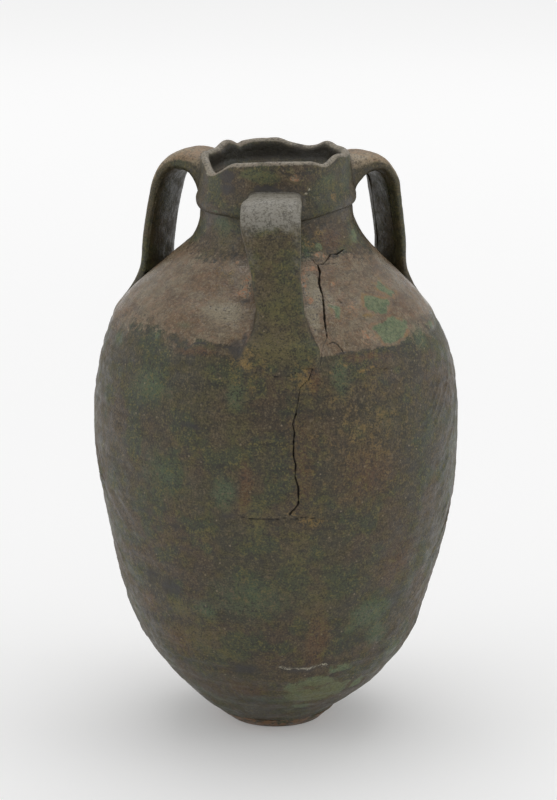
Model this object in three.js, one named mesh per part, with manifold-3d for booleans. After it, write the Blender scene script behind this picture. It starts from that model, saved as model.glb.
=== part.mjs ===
// Three-handled glazed storage jar, thrown in sections that are luted together.
// Millimetres, +Z up. The origin is the centre of the flat base, and the front handle faces -Y.
import * as THREE from 'three';
import { mergeVertices } from 'three/addons/utils/BufferGeometryUtils.js';
import Module from 'manifold-3d';

const wasm = await Module();
wasm.setup();

// Height to the lip, and of the thrown pieces: the belly and upper walls share what is left
const jarHeight = 580;
const footHeight = 12;
const lowerWallHeight = 82;
const shoulderHeight = 88;
const neckHeight = 24.5;
const collarHeight = 51.5;
const bellyShare = 0.51;

// Outer radii where the pieces meet, and the widest ring of the jar
const footRadius = 50;
const footTopRadius = 62;
const lowerJointRadius = 137;
const bellyJointRadius = 178.5;
const widestRadius = 182;
const widestRise = 62;
const shoulderJointRadius = 160;
const neckRootRadius = 80;
const neckRadius = 74.5;

// Collar: a round ridge over a crease at its foot, a faint waist and a thinned lip
const ridgeStandout = 4.6;
const ridgeRise = 10.5;
const waistStandout = 1;
const waistRise = 21;
const rimRadius = 73.5;
const mouthRadius = 63.5;
const mouthDraft = 1;
const lipRounding = 3.5;
const ledgeDepth = 19;
const ledgeRadius = 56;
const ledgeThickness = 9;

// Walls and joints: each joint is a bevel that rises inward, with a thin bed of slip in it
const wallThickness = 10;
const floorThickness = 16;
const footEdgeRounding = 1.5;
const jointBevelRise = 5;
const slipThickness = 0.3;
const seatGap = 0.3;

// Sizes of the three straps. The root is the end in the collar, and the neck is just outside it.
// The roundness is that of the section: 1 makes it an ellipse, 0 a box. The drift is how far the
// middle strays sideways, by the share of the way along the strap.
const rightStrap = {
  thickness: 14.5,
  rootThickness: 44,
  rootDrop: 19,
  neckThickness: 26,
  neckDrop: 4.5,
  rootWidth: 54,
  bendWidth: 55,
  waistWidth: 52,
  tailWidth: 58,
  roundness: 0.82,
  drift: [
    [0, -5.4],
    [0.3, -5.4],
    [0.85, 3.6],
    [1, 3.6],
  ],
};
const leftStrap = {
  ...rightStrap,
  thickness: 15.5,
  rootThickness: 56,
  rootDrop: 25,
  bendWidth: 58,
  waistWidth: 56,
};
const frontStrap = {
  thickness: 12.5,
  rootThickness: 20,
  rootDrop: 4,
  neckThickness: 16,
  neckDrop: 3,
  rootWidth: 48,
  bendWidth: 57,
  waistWidth: 46,
  tailWidth: 66,
  roundness: 0.55,
  drift: [
    [0, 0],
    [0.3, -5.6],
    [0.45, -2],
    [0.72, 5],
    [1, 5],
  ],
};

// Line that every strap follows: shares of its reach from the neck and of its drop to the
// landing on the shoulder, and millimetres for the insets, drops and sinks of its middle
const strapLine = {
  neckReach: 0.2,
  crownReach: 0.58,
  crownDrop: 4,
  crownThickening: 0.3,
  kneeInset: 8,
  kneeShare: 0.16,
  bendInset: 1,
  bendShare: 0.39,
  legReach: 0.4,
  legShare: 0.65,
  landingSink: 3.5,
  landingLift: 0.09,
  tailSink: 1,
  tailDrop: 13,
};

// Thinning of a strap's tail over the shoulder joint, and the narrowing of its tip
const spreadThinning = 0.75;
const tailThinning = 0.55;
const tipThinning = 0.4;
const tipSink = 0.3;
const tipNarrowing = 0.9;

// Facets round the axis, rings up the collar, and facets along and across a strap
const facets = 66;
const collarRings = 5;
const strapSteps = 26;
const strapSides = 14;

// Tilt of the shoulder joint and the collar, as a slope toward +X
const shoulderTilt = 0.03;

const { lerp, smoothstep, degToRad, radToDeg, clamp, euclideanModulo } = THREE.MathUtils;

// Heights of the joints
const rimHeight = jarHeight;
const collarJoint = rimHeight - collarHeight;
const neckJoint = collarJoint - neckHeight;
const shoulderJoint = neckJoint - shoulderHeight;
const footJoint = footHeight;
const lowerJoint = footJoint + lowerWallHeight;
const bellyJoint = lerp(lowerJoint, shoulderJoint, bellyShare);

// A smooth function through [input, output] pairs, level beyond the first and the last.
function smoothThrough(pairs) {
  const slopeAt = (i) => {
    const before = pairs[Math.max(i - 1, 0)];
    const after = pairs[Math.min(i + 1, pairs.length - 1)];
    return (after[1] - before[1]) / (after[0] - before[0]);
  };
  return (input) => {
    const x = clamp(input, pairs[0][0], pairs.at(-1)[0]);
    const i = Math.max(pairs.findIndex((pair) => x <= pair[0]) - 1, 0);
    const [[x0, y0], [x1, y1]] = [pairs[i], pairs[i + 1]];
    const span = x1 - x0;
    const t = (x - x0) / span;
    const curveIn = slopeAt(i) * span * t * (1 - t) ** 2;
    const curveOut = slopeAt(i + 1) * span * t * t * (1 - t);
    return lerp(y0, y1, t * t * (3 - 2 * t)) + curveIn - curveOut;
  };
}

// Points part of the way up a wall, each pushed out from the straight line between its ends.
function bowed([fromHeight, fromRadius], [toHeight, toRadius], ...bows) {
  return bows.map(([share, bulge]) => [
    lerp(fromHeight, toHeight, share),
    lerp(fromRadius, toRadius, share) + bulge,
  ]);
}

// How the wall bows out from the straight line between two joints, and draws in to the neck:
// the share of the way up, and the bulge there
const lowerWallBows = [
  [0.22, 5],
  [0.5, 8],
];
const bellyWallBows = [
  [0.34, 5.4],
  [0.74, 3.6],
];
const upperWallBow = [0.745, 9.6];
const shoulderBows = [
  [0.28, 5],
  [0.62, 0.5],
  [0.9, -2.5],
];
const neckBow = [0.5, -1.8];

// Outer wall from the base to the foot of the collar, as height and radius
const base = [0, footRadius];
const footEnd = [footJoint, footTopRadius];
const lowerEnd = [lowerJoint, lowerJointRadius];
const bellyEnd = [bellyJoint, bellyJointRadius];
const shoulderStart = [shoulderJoint, shoulderJointRadius];
const shoulderEnd = [neckJoint, neckRootRadius];
const neckEnd = [collarJoint, neckRadius];
const outerRadius = smoothThrough([
  base,
  footEnd,
  ...bowed(footEnd, lowerEnd, ...lowerWallBows),
  lowerEnd,
  ...bowed(lowerEnd, bellyEnd, ...bellyWallBows),
  bellyEnd,
  [bellyJoint + widestRise, widestRadius],
  ...bowed(bellyEnd, shoulderStart, upperWallBow),
  shoulderStart,
  ...bowed(shoulderStart, shoulderEnd, ...shoulderBows),
  shoulderEnd,
  ...bowed(shoulderEnd, neckEnd, neckBow),
  neckEnd,
]);

// The level distance through a skin of the given thickness, which grows where the wall slopes.
function levelThickness(thickness, height) {
  const slope = outerRadius(height + 1) - outerRadius(height - 1);
  return thickness * Math.hypot(1, slope / 2);
}

function innerRadius(height) {
  return outerRadius(height) - levelThickness(wallThickness, height);
}

// Rings of one wall surface, evenly spaced between two heights.
function rings(radiusAt, from, to, count) {
  return Array.from({ length: count + 1 }, (_, i) => {
    const height = lerp(from, to, i / count);
    return [radiusAt(height), height];
  });
}

// How far the wall strays sideways, by height, as the wet clay slumped a little on the wheel
const sideways = smoothThrough([
  [0, -0.5],
  [lerp(footJoint, lowerJoint, 0.1), -1.8],
  [lerp(footJoint, lowerJoint, 0.56), 1.8],
  [lerp(lowerJoint, bellyJoint, 0.28), 0],
  [lerp(lowerJoint, bellyJoint, 0.72), 1.8],
  [lerp(bellyJoint, shoulderJoint, 0.2), 0],
  [lerp(bellyJoint, shoulderJoint, 0.8), -0.2],
  [lerp(shoulderJoint, neckJoint, 0.2), -2.5],
  [lerp(shoulderJoint, neckJoint, 0.8), 1],
  [collarJoint, 0],
  [rimHeight, -1],
]);

// Worn and lifted stretches of the lip: degrees round from the front, half width, rise in mm
const lipFeatures = [
  { at: 178, halfWidth: 10, rise: 1.5 },
  { at: 152, halfWidth: 22, rise: -4 },
  { at: 130, halfWidth: 14, rise: 2.5 },
  { at: 61, halfWidth: 15, rise: 2.5 },
  { at: 42, halfWidth: 13, rise: -3.4 },
  { at: 0, halfWidth: 45, rise: 2.8 },
  { at: -58, halfWidth: 26, rise: -12.3 },
  { at: -94, halfWidth: 14, rise: 3 },
  { at: -135, halfWidth: 14, rise: 5.5 },
  { at: -147, halfWidth: 6, rise: -1.5 },
  { at: -165, halfWidth: 30, rise: 4 },
];
const lipFadeDepth = 24;

// Sag of the crease under the collar, where the front handle was pressed on
const creaseSag = { at: 5, halfWidth: 50, depth: 6, reach: 20 };

function degreesApart(one, other) {
  return Math.abs(euclideanModulo(one - other + 180, 360) - 180);
}

function lipRise(degrees) {
  return lipFeatures.reduce((sum, { at, halfWidth, rise }) => {
    return sum + rise * (1 - smoothstep(degreesApart(degrees, at), 0, halfWidth));
  }, 0);
}

function sagAt(degrees, height) {
  const { at, halfWidth, depth, reach } = creaseSag;
  const level = 1 - smoothstep(Math.abs(height - collarJoint), 0, reach);
  return depth * level * (1 - smoothstep(degreesApart(degrees, at), 0, halfWidth));
}

// Moves a point of the true round jar to its place on the hand-made one.
function makeUneven(point) {
  const degrees = radToDeg(Math.atan2(point.x, -point.y));
  const tilt = shoulderTilt * smoothstep(point.z, bellyJoint + widestRise, shoulderJoint);
  const tiltRise = tilt * point.x;
  const onSlope = 1 - smoothstep(point.z, neckJoint - neckHeight, neckJoint);
  const slide = onSlope * (outerRadius(point.z + tiltRise) - outerRadius(point.z));
  const radius = Math.hypot(point.x, point.y);
  const scale = radius > 0 ? (radius + slide) / radius : 1;
  const nearLip = smoothstep(point.z, rimHeight - lipFadeDepth, rimHeight);
  point.x = point.x * scale + sideways(point.z);
  point.y *= scale;
  point.z += tiltRise + nearLip * lipRise(degrees) - sagAt(degrees, point.z);
}

function solidFrom(geometry) {
  geometry.deleteAttribute('normal');
  geometry.deleteAttribute('uv');
  const merged = mergeVertices(geometry);
  return new wasm.Manifold(
    new wasm.Mesh({
      numProp: 3,
      vertProperties: merged.attributes.position.array,
      triVerts: new Uint32Array(merged.index.array),
    }),
  );
}

function geometryFrom(solid) {
  const { vertProperties, triVerts } = solid.getMesh();
  const geometry = new THREE.BufferGeometry();
  geometry.setAttribute('position', new THREE.BufferAttribute(vertProperties, 3));
  geometry.setIndex(new THREE.BufferAttribute(triVerts, 1));
  geometry.computeVertexNormals();
  return geometry;
}

// A thrown piece: its half section, spun round the axis and then made uneven.
function thrown(section) {
  const outline = section.map(([radius, height]) => new THREE.Vector2(radius, height));
  if (outline[0].x > 0) outline.push(outline[0].clone());
  const geometry = new THREE.LatheGeometry(outline, facets).rotateX(Math.PI / 2);
  const position = geometry.attributes.position;
  const point = new THREE.Vector3();
  for (let i = 0; i < position.count; i += 1) {
    makeUneven(point.fromBufferAttribute(position, i));
    position.setXYZ(i, point.x, point.y, point.z);
  }
  return geometry;
}

// Foot: a flat disc with a flared edge, dished a little inside
function footSection() {
  const bevelTop = footJoint + jointBevelRise;
  return [
    [0, 0],
    [footRadius - footEdgeRounding, 0],
    [footRadius, footEdgeRounding],
    [outerRadius(footJoint / 2), footJoint / 2],
    [outerRadius(footJoint), footJoint],
    [innerRadius(bevelTop), bevelTop],
    [innerRadius(bevelTop) / 2, floorThickness],
    [0, floorThickness],
  ];
}

// Outer rings of a wall piece between its two joints.
function outerRings(from, to, count) {
  return rings(outerRadius, from, to, count);
}

// A wall piece between two joints: up the outside, over the bevel and down the inside.
function wallSection(from, to, outerCount, innerCount) {
  const lowest = from + slipThickness;
  const outside = outerRings(lowest, to, outerCount);
  const inside = rings(innerRadius, to + jointBevelRise, lowest + jointBevelRise, innerCount);
  return [...outside, ...inside];
}

const wallPieces = [
  { name: 'lower_wall', from: footJoint, to: lowerJoint, outerCount: 7, innerCount: 4 },
  { name: 'belly_wall', from: lowerJoint, to: bellyJoint, outerCount: 7, innerCount: 4 },
  { name: 'upper_wall', from: bellyJoint, to: shoulderJoint, outerCount: 8, innerCount: 5 },
  { name: 'shoulder', from: shoulderJoint, to: neckJoint, outerCount: 9, innerCount: 6 },
  { name: 'neck', from: neckJoint, to: collarJoint, outerCount: 3, innerCount: 2 },
];

// Underside of the collar's ridge, as shares of its standout and of its rise
const ridgeCurve = [
  [0.55, 0.12],
  [0.92, 0.48],
];

// Outside of the collar, from the crease over the neck to the top of the lip
function collarOutside() {
  const start = collarJoint + slipThickness;
  const lipStart = rimHeight - lipRounding;
  const ridge = neckRadius + ridgeStandout;
  const waist = neckRadius + waistStandout;
  const onRidge = ([standout, rise]) => [lerp(neckRadius, ridge, standout), start + ridgeRise * rise];
  const upper = smoothThrough([
    [start + ridgeRise, ridge],
    [collarJoint + waistRise, waist],
    [lipStart, rimRadius],
  ]);
  return [
    [neckRadius, start],
    ...ridgeCurve.map(onRidge),
    ...rings(upper, start + ridgeRise, lipStart, collarRings),
    [rimRadius - lipRounding, rimHeight],
  ];
}

// Inside of the collar, from the lip down over the ledge that a lid rests on
function collarInside() {
  const ledgeTop = rimHeight - ledgeDepth;
  const lowest = collarJoint + slipThickness + jointBevelRise;
  return [
    [mouthRadius + lipRounding, rimHeight],
    [mouthRadius, rimHeight - lipRounding],
    [mouthRadius - mouthDraft, ledgeTop + lipRounding],
    [mouthRadius - lipRounding, ledgeTop],
    [ledgeRadius, ledgeTop - lipRounding],
    [ledgeRadius, ledgeTop - ledgeThickness],
    [innerRadius(lowest), lowest],
  ];
}

// The jar's whole outside grown by the seat gap: what a strap is cut back to.
function seatSection() {
  const grown = ([radius, height]) => [radius + levelThickness(seatGap, height), height];
  const wallRings = wallPieces.flatMap(({ from, to, outerCount }) =>
    outerRings(from + slipThickness, to, outerCount),
  );
  const columnRadius = rimRadius - lipRounding + seatGap;
  const columnTop = rimHeight + rightStrap.rootThickness;
  return [
    [0, footJoint],
    ...wallRings.map(grown),
    ...collarOutside().map(grown),
    [columnRadius, columnTop],
    [0, columnTop],
  ];
}

// Stations of a strap, from inside the collar over the bend and down into the shoulder:
// the middle's distance from the axis and height, then the width and the thickness there.
function strapStations(strap, rootDepth, reach) {
  const { thickness, rootThickness, neckThickness, rootWidth, bendWidth, waistWidth } = strap;
  const { tailWidth } = strap;
  const line = strapLine;
  const top = rimHeight - rootDepth;
  const bend = neckRadius + reach;
  const landing = shoulderJoint + line.tailDrop * 2;
  const spread = shoulderJoint + line.tailDrop;
  const tail = shoulderJoint - line.tailDrop;
  const drop = top - landing;
  const landingRadius = outerRadius(landing);
  const crownThickness = lerp(thickness, neckThickness, line.crownThickening);
  const between = (one, other) => (one + other) / 2;
  const root = [neckRadius - thickness, top - strap.rootDrop];
  const neck = [neckRadius + reach * line.neckReach, top - strap.neckDrop];
  const crown = [neckRadius + reach * line.crownReach, top - line.crownDrop];
  const knee = [bend - line.kneeInset, top - drop * line.kneeShare];
  const outermost = [bend - line.bendInset, top - drop * line.bendShare];
  const leg = [lerp(bend, landingRadius, line.legReach), top - drop * line.legShare];
  const foot = [landingRadius - line.landingSink, landing + drop * line.landingLift];
  const spreading = [outerRadius(spread) - line.tailSink, spread];
  const joint = [outerRadius(shoulderJoint) - line.tailSink, shoulderJoint];
  const tip = [outerRadius(tail) - thickness * tipSink, tail];
  return [
    [...root, rootWidth, rootThickness],
    [...neck, between(rootWidth, bendWidth), neckThickness],
    [...crown, bendWidth, crownThickness],
    [...knee, bendWidth, thickness],
    [...outermost, between(bendWidth, waistWidth), thickness],
    [...leg, waistWidth, thickness],
    [...foot, waistWidth, thickness],
    [...spreading, between(waistWidth, tailWidth), thickness * spreadThinning],
    [...joint, tailWidth, thickness * tailThinning],
    [...tip, tailWidth * tipNarrowing, thickness * tipThinning],
  ];
}

// A strap of rounded flat section, swept through its stations in the plane x, z.
function strapGeometry(stations, roundness, drift) {
  const driftAt = smoothThrough(drift);
  const middle = new THREE.CatmullRomCurve3(
    stations.map(([radius, height], i) => {
      return new THREE.Vector3(radius, driftAt(i / (stations.length - 1)), height);
    }),
    false,
    'centripetal',
  );
  const girth = new THREE.CatmullRomCurve3(
    stations.map(([, , width, thickness]) => new THREE.Vector3(width, thickness, 0)),
  );
  const across = new THREE.Vector3(0, 1, 0);
  const squared = (value) => Math.sign(value) * Math.abs(value) ** roundness;
  const vertices = [];
  const faces = [];
  for (let step = 0; step <= strapSteps; step += 1) {
    const along = step / strapSteps;
    const centre = middle.getPoint(along);
    const outward = middle.getTangent(along).cross(across).normalize().negate();
    const { x: width, y: thickness } = girth.getPoint(along);
    for (let side = 0; side < strapSides; side += 1) {
      const angle = (side / strapSides) * 2 * Math.PI;
      const vertex = centre.clone();
      vertex.addScaledVector(across, (width / 2) * squared(Math.cos(angle)));
      vertex.addScaledVector(outward, (thickness / 2) * squared(Math.sin(angle)));
      vertices.push(...vertex.toArray());
      if (step < strapSteps) {
        const here = step * strapSides + side;
        const next = step * strapSides + ((side + 1) % strapSides);
        faces.push(here, next + strapSides, next, here, here + strapSides, next + strapSides);
      }
    }
  }
  const lastRing = strapSteps * strapSides;
  for (let side = 1; side < strapSides - 1; side += 1) {
    faces.push(0, side, side + 1, lastRing, lastRing + side + 1, lastRing + side);
  }
  const geometry = new THREE.BufferGeometry();
  geometry.setAttribute('position', new THREE.Float32BufferAttribute(vertices, 3));
  geometry.setIndex(faces);
  return geometry;
}

const seat = solidFrom(thrown(seatSection()));

// A handle: its strap turned to its place round the jar and cut back to the wall it is luted to.
function handle({ degrees, strap, rootDepth, reach }) {
  const stations = strapStations(strap, rootDepth, reach);
  const geometry = strapGeometry(stations, strap.roundness, strap.drift);
  geometry.rotateZ(degToRad(degrees - 90));
  return geometryFrom(solidFrom(geometry).subtract(seat));
}

const handles = [
  { name: 'front_handle', degrees: 0, strap: frontStrap, rootDepth: 32, reach: 55 },
  { name: 'right_handle', degrees: 121.5, strap: rightStrap, rootDepth: 13, reach: 54 },
  { name: 'left_handle', degrees: 241.5, strap: leftStrap, rootDepth: 12, reach: 56 },
];

const glaze = (color, roughness) =>
  new THREE.MeshStandardMaterial({ color, roughness, metalness: 0 });
const bodyGlaze = glaze('#3d3a28', 0.55);
const shoulderGlaze = glaze('#5a4a3a', 0.45);
const handleGlaze = glaze('#45402f', 0.6);
const bareClay = glaze('#7a5638', 0.9);

function piece(name, geometry, material) {
  const mesh = new THREE.Mesh(geometry, material);
  mesh.name = name;
  return mesh;
}

const glazeOf = { shoulder: shoulderGlaze, neck: shoulderGlaze };

const jar = new THREE.Group();
jar.name = 'jar';
jar.add(piece('foot_disc', thrown(footSection()), bareClay));
for (const { name, from, to, outerCount, innerCount } of wallPieces) {
  const geometry = thrown(wallSection(from, to, outerCount, innerCount));
  jar.add(piece(name, geometry, glazeOf[name] ?? bodyGlaze));
}
jar.add(piece('rim_collar', thrown([...collarOutside(), ...collarInside()]), bodyGlaze));
for (const shape of handles) {
  jar.add(piece(shape.name, handle(shape), handleGlaze));
}

export default jar;
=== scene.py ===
import math

import bpy
import numpy as np
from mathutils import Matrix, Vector
from mathutils.bvhtree import BVHTree


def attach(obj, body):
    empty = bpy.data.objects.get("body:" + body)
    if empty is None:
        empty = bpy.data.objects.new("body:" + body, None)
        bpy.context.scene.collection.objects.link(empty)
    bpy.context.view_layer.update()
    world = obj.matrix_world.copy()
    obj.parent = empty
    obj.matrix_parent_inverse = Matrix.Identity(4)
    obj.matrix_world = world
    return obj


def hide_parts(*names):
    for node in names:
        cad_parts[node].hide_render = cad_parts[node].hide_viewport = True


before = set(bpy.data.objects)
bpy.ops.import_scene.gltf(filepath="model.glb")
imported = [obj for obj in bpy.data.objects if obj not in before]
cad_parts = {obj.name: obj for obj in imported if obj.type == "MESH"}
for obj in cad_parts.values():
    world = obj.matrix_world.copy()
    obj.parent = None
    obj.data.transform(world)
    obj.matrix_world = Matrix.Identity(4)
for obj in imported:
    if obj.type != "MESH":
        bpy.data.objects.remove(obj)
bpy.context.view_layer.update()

# Millimetres to metres
MM = 0.001

# Heights of the joints between the thrown pieces, in mm like all lengths below unless they say metres
JAR_HEIGHT = 580.0
FOOT_JOINT = 12.0
LOWER_JOINT = 94.0
COLLAR_HEIGHT = 51.5
NECK_HEIGHT = 24.5
SHOULDER_HEIGHT = 88.0
BELLY_SHARE = 0.51
COLLAR_JOINT = JAR_HEIGHT - COLLAR_HEIGHT
NECK_JOINT = COLLAR_JOINT - NECK_HEIGHT
SHOULDER_JOINT = NECK_JOINT - SHOULDER_HEIGHT
BELLY_JOINT = LOWER_JOINT + BELLY_SHARE * (SHOULDER_JOINT - LOWER_JOINT)

# Outer radii where the pieces meet
FOOT_RADIUS = 50.0
FOOT_TOP_RADIUS = 62.0
LOWER_JOINT_RADIUS = 137.0
BELLY_JOINT_RADIUS = 178.5
WIDEST_RADIUS = 182.0
WIDEST_RISE = 62.0
SHOULDER_JOINT_RADIUS = 160.0
NECK_ROOT_RADIUS = 80.0
NECK_RADIUS = 74.5
WALL = 10.0
FLOOR_THICKNESS = 16.0
FOOT_EDGE_ROUNDING = 1.5
BEVEL_RISE = 5.0
# Rise of the shoulder joint for each mm to the right
SHOULDER_TILT = 0.03

# Collar
RIDGE_STANDOUT = 4.6
RIDGE_RISE = 10.5
# The ridge's rounded underside, as shares of its stand-out and of its rise
RIDGE_UNDERSIDE = [(0.55, 0.12), (0.92, 0.48)]
WAIST_STANDOUT = 1.0
WAIST_RISE = 21.0
RIM_RADIUS = 73.5
MOUTH_RADIUS = 63.5
LIP_ROUNDING = 3.5
LEDGE_DEPTH = 19.0
LEDGE_RADIUS = 56.0
LEDGE_THICKNESS = 9.0

# Camera: the photograph's frame in pixels, lens and sensor in mm, and its aim and distance in metres
PHOTO_WIDTH, PHOTO_HEIGHT = 557, 800
LENS = 126.0
SENSOR = 36.0
AIM = Vector((0.0025, 0.0, 0.3295))
DISTANCE = 2.8
PITCH = math.radians(14.7)


def smooth_through(pairs):
    """A smooth function through [input, output] pairs, level beyond the first and the last."""
    xs, ys = np.array(pairs, float).T
    slopes = np.empty(len(xs))
    slopes[1:-1] = (ys[2:] - ys[:-2]) / (xs[2:] - xs[:-2])
    slopes[0] = (ys[1] - ys[0]) / (xs[1] - xs[0])
    slopes[-1] = (ys[-1] - ys[-2]) / (xs[-1] - xs[-2])

    def value(inputs):
        x = np.clip(np.asarray(inputs, float), xs[0], xs[-1])
        i = np.clip(np.searchsorted(xs, x) - 1, 0, len(xs) - 2)
        span = xs[i + 1] - xs[i]
        t = (x - xs[i]) / span
        rise = (ys[i + 1] - ys[i]) * t * t * (3 - 2 * t)
        curve_in = slopes[i] * span * t * (1 - t) ** 2
        curve_out = slopes[i + 1] * span * t * t * (1 - t)
        return ys[i] + rise + curve_in - curve_out

    return value


def lerp(a, b, t):
    return a + (b - a) * t


def smoothstep(x, low, high):
    t = np.clip((np.asarray(x, float) - low) / (high - low), 0, 1)
    return t * t * (3 - 2 * t)


def bowed(start, end, share, bulge):
    """A point part of the way up a wall, pushed out from the straight line between its ends."""
    return [lerp(start[0], end[0], share), lerp(start[1], end[1], share) + bulge]


BASE = [0, FOOT_RADIUS]
FOOT_END = [FOOT_JOINT, FOOT_TOP_RADIUS]
LOWER_END = [LOWER_JOINT, LOWER_JOINT_RADIUS]
BELLY_END = [BELLY_JOINT, BELLY_JOINT_RADIUS]
SHOULDER_START = [SHOULDER_JOINT, SHOULDER_JOINT_RADIUS]
SHOULDER_END = [NECK_JOINT, NECK_ROOT_RADIUS]
NECK_END = [COLLAR_JOINT, NECK_RADIUS]
outer_radius = smooth_through([
    BASE,
    FOOT_END,
    bowed(FOOT_END, LOWER_END, 0.22, 5),
    bowed(FOOT_END, LOWER_END, 0.5, 8),
    LOWER_END,
    bowed(LOWER_END, BELLY_END, 0.34, 5.4),
    bowed(LOWER_END, BELLY_END, 0.74, 3.6),
    BELLY_END,
    [BELLY_JOINT + WIDEST_RISE, WIDEST_RADIUS],
    bowed(BELLY_END, SHOULDER_START, 0.745, 9.6),
    SHOULDER_START,
    bowed(SHOULDER_START, SHOULDER_END, 0.28, 5),
    bowed(SHOULDER_START, SHOULDER_END, 0.62, 0.5),
    bowed(SHOULDER_START, SHOULDER_END, 0.9, -2.5),
    SHOULDER_END,
    bowed(SHOULDER_END, NECK_END, 0.5, -1.8),
    NECK_END,
])
sideways = smooth_through([
    [0, -0.5],
    [lerp(FOOT_JOINT, LOWER_JOINT, 0.1), -1.8],
    [lerp(FOOT_JOINT, LOWER_JOINT, 0.56), 1.8],
    [lerp(LOWER_JOINT, BELLY_JOINT, 0.28), 0],
    [lerp(LOWER_JOINT, BELLY_JOINT, 0.72), 1.8],
    [lerp(BELLY_JOINT, SHOULDER_JOINT, 0.2), 0],
    [lerp(BELLY_JOINT, SHOULDER_JOINT, 0.8), -0.2],
    [lerp(SHOULDER_JOINT, NECK_JOINT, 0.2), -2.5],
    [lerp(SHOULDER_JOINT, NECK_JOINT, 0.8), 1],
    [COLLAR_JOINT, 0],
    [JAR_HEIGHT, -1],
])


def slope_of(radius_at, height):
    return (radius_at(np.asarray(height) + 1) - radius_at(np.asarray(height) - 1)) / 2


def inner_radius(height):
    return outer_radius(height) - WALL * np.hypot(1, slope_of(outer_radius, height))


def collar_outside():
    """Outside of the collar as radius and height, from the crease to the top of the lip."""
    lip_start = JAR_HEIGHT - LIP_ROUNDING
    ridge = NECK_RADIUS + RIDGE_STANDOUT
    upper = smooth_through([
        [COLLAR_JOINT + RIDGE_RISE, ridge],
        [COLLAR_JOINT + WAIST_RISE, NECK_RADIUS + WAIST_STANDOUT],
        [lip_start, RIM_RADIUS],
    ])
    rise = np.linspace(COLLAR_JOINT + RIDGE_RISE, lip_start, 9)
    return [
        (NECK_RADIUS, COLLAR_JOINT),
        *((lerp(NECK_RADIUS, ridge, out), COLLAR_JOINT + RIDGE_RISE * up) for out, up in RIDGE_UNDERSIDE),
        *zip(upper(rise), rise),
        (RIM_RADIUS - LIP_ROUNDING, JAR_HEIGHT),
    ]


def collar_inside():
    """Inside of the collar, from the lip down over the ledge to the joint with the neck."""
    ledge_top = JAR_HEIGHT - LEDGE_DEPTH
    lowest = COLLAR_JOINT + BEVEL_RISE
    return [
        (MOUTH_RADIUS + LIP_ROUNDING, JAR_HEIGHT),
        (MOUTH_RADIUS, JAR_HEIGHT - LIP_ROUNDING),
        (MOUTH_RADIUS - 1, ledge_top + LIP_ROUNDING),
        (MOUTH_RADIUS - LIP_ROUNDING, ledge_top),
        (LEDGE_RADIUS, ledge_top - LIP_ROUNDING),
        (LEDGE_RADIUS, ledge_top - LEDGE_THICKNESS),
        (float(inner_radius(lowest)), lowest),
    ]


COLLAR_RADII, COLLAR_HEIGHTS = np.array(collar_outside(), float).T


def jar_radius(height):
    """Radius of the jar's outside at any height, the collar and the space over the rim included."""
    height = np.asarray(height, float)
    collar = np.interp(height, COLLAR_HEIGHTS, COLLAR_RADII)
    return np.where(height < COLLAR_JOINT, outer_radius(height), collar)


# Worn and lifted stretches of the lip: degrees round from the front, half width, rise
LIP_FEATURES = [
    (178, 10, 1.5),
    (152, 22, -4),
    (130, 14, 2.5),
    (61, 15, 2.5),
    (42, 13, -3.4),
    (0, 45, 2.8),
    (-58, 26, -12.3),
    (-94, 14, 3),
    (-135, 14, 5.5),
    (-147, 6, -1.5),
    (-165, 30, 4),
]
LIP_FADE_DEPTH = 24.0
# Sag of the crease under the collar, where the front handle was pressed on
SAG_AT, SAG_HALF_WIDTH, SAG_DEPTH, SAG_REACH = 5.0, 50.0, 6.0, 20.0


def degrees_apart(one, other):
    return np.abs((one - other + 180) % 360 - 180)


def lip_rise(degrees):
    total = np.zeros_like(degrees)
    for at, half_width, rise in LIP_FEATURES:
        total += rise * (1 - smoothstep(degrees_apart(degrees, at), 0, half_width))
    return total


def near_lip(height):
    return smoothstep(height, JAR_HEIGHT - LIP_FADE_DEPTH, JAR_HEIGHT)


def sag_at(degrees, height):
    level = 1 - smoothstep(np.abs(height - COLLAR_JOINT), 0, SAG_REACH)
    return SAG_DEPTH * level * (1 - smoothstep(degrees_apart(degrees, SAG_AT), 0, SAG_HALF_WIDTH))


def tilt_at(height):
    return SHOULDER_TILT * smoothstep(height, BELLY_JOINT + WIDEST_RISE, SHOULDER_JOINT)


def on_slope(height):
    return 1 - smoothstep(height, NECK_JOINT - NECK_HEIGHT, NECK_JOINT)


def degrees_of(points):
    return np.degrees(np.arctan2(points[:, 0], -points[:, 1]))


def make_uneven(points):
    """Moves points of the true round jar to their places on the hand-made one."""
    x, y, z = points.T
    tilt_rise = tilt_at(z) * x
    slide = on_slope(z) * (outer_radius(z + tilt_rise) - outer_radius(z))
    radius = np.maximum(np.hypot(x, y), 1e-6)
    scale = np.where(radius > 1, (radius + slide) / radius, 1)
    degrees = degrees_of(points)
    lifted = z + tilt_rise + near_lip(z) * lip_rise(degrees) - sag_at(degrees, z)
    return np.column_stack((x * scale + sideways(z), y * scale, lifted))


def outside_distance(points):
    """How far points of the hand-made jar lie outside its wall, before any relief."""
    x, y, z = points.T
    true_z = z - (1 - on_slope(z)) * tilt_at(z) * x
    degrees = degrees_of(points)
    for _ in range(3):
        shift = near_lip(true_z) * lip_rise(degrees) - sag_at(degrees, true_z)
        true_z = z - (1 - on_slope(z)) * tilt_at(z) * x - shift
    radius = np.hypot(x - sideways(true_z), y)
    return (radius - jar_radius(true_z)) / np.hypot(1, slope_of(jar_radius, true_z))


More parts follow.
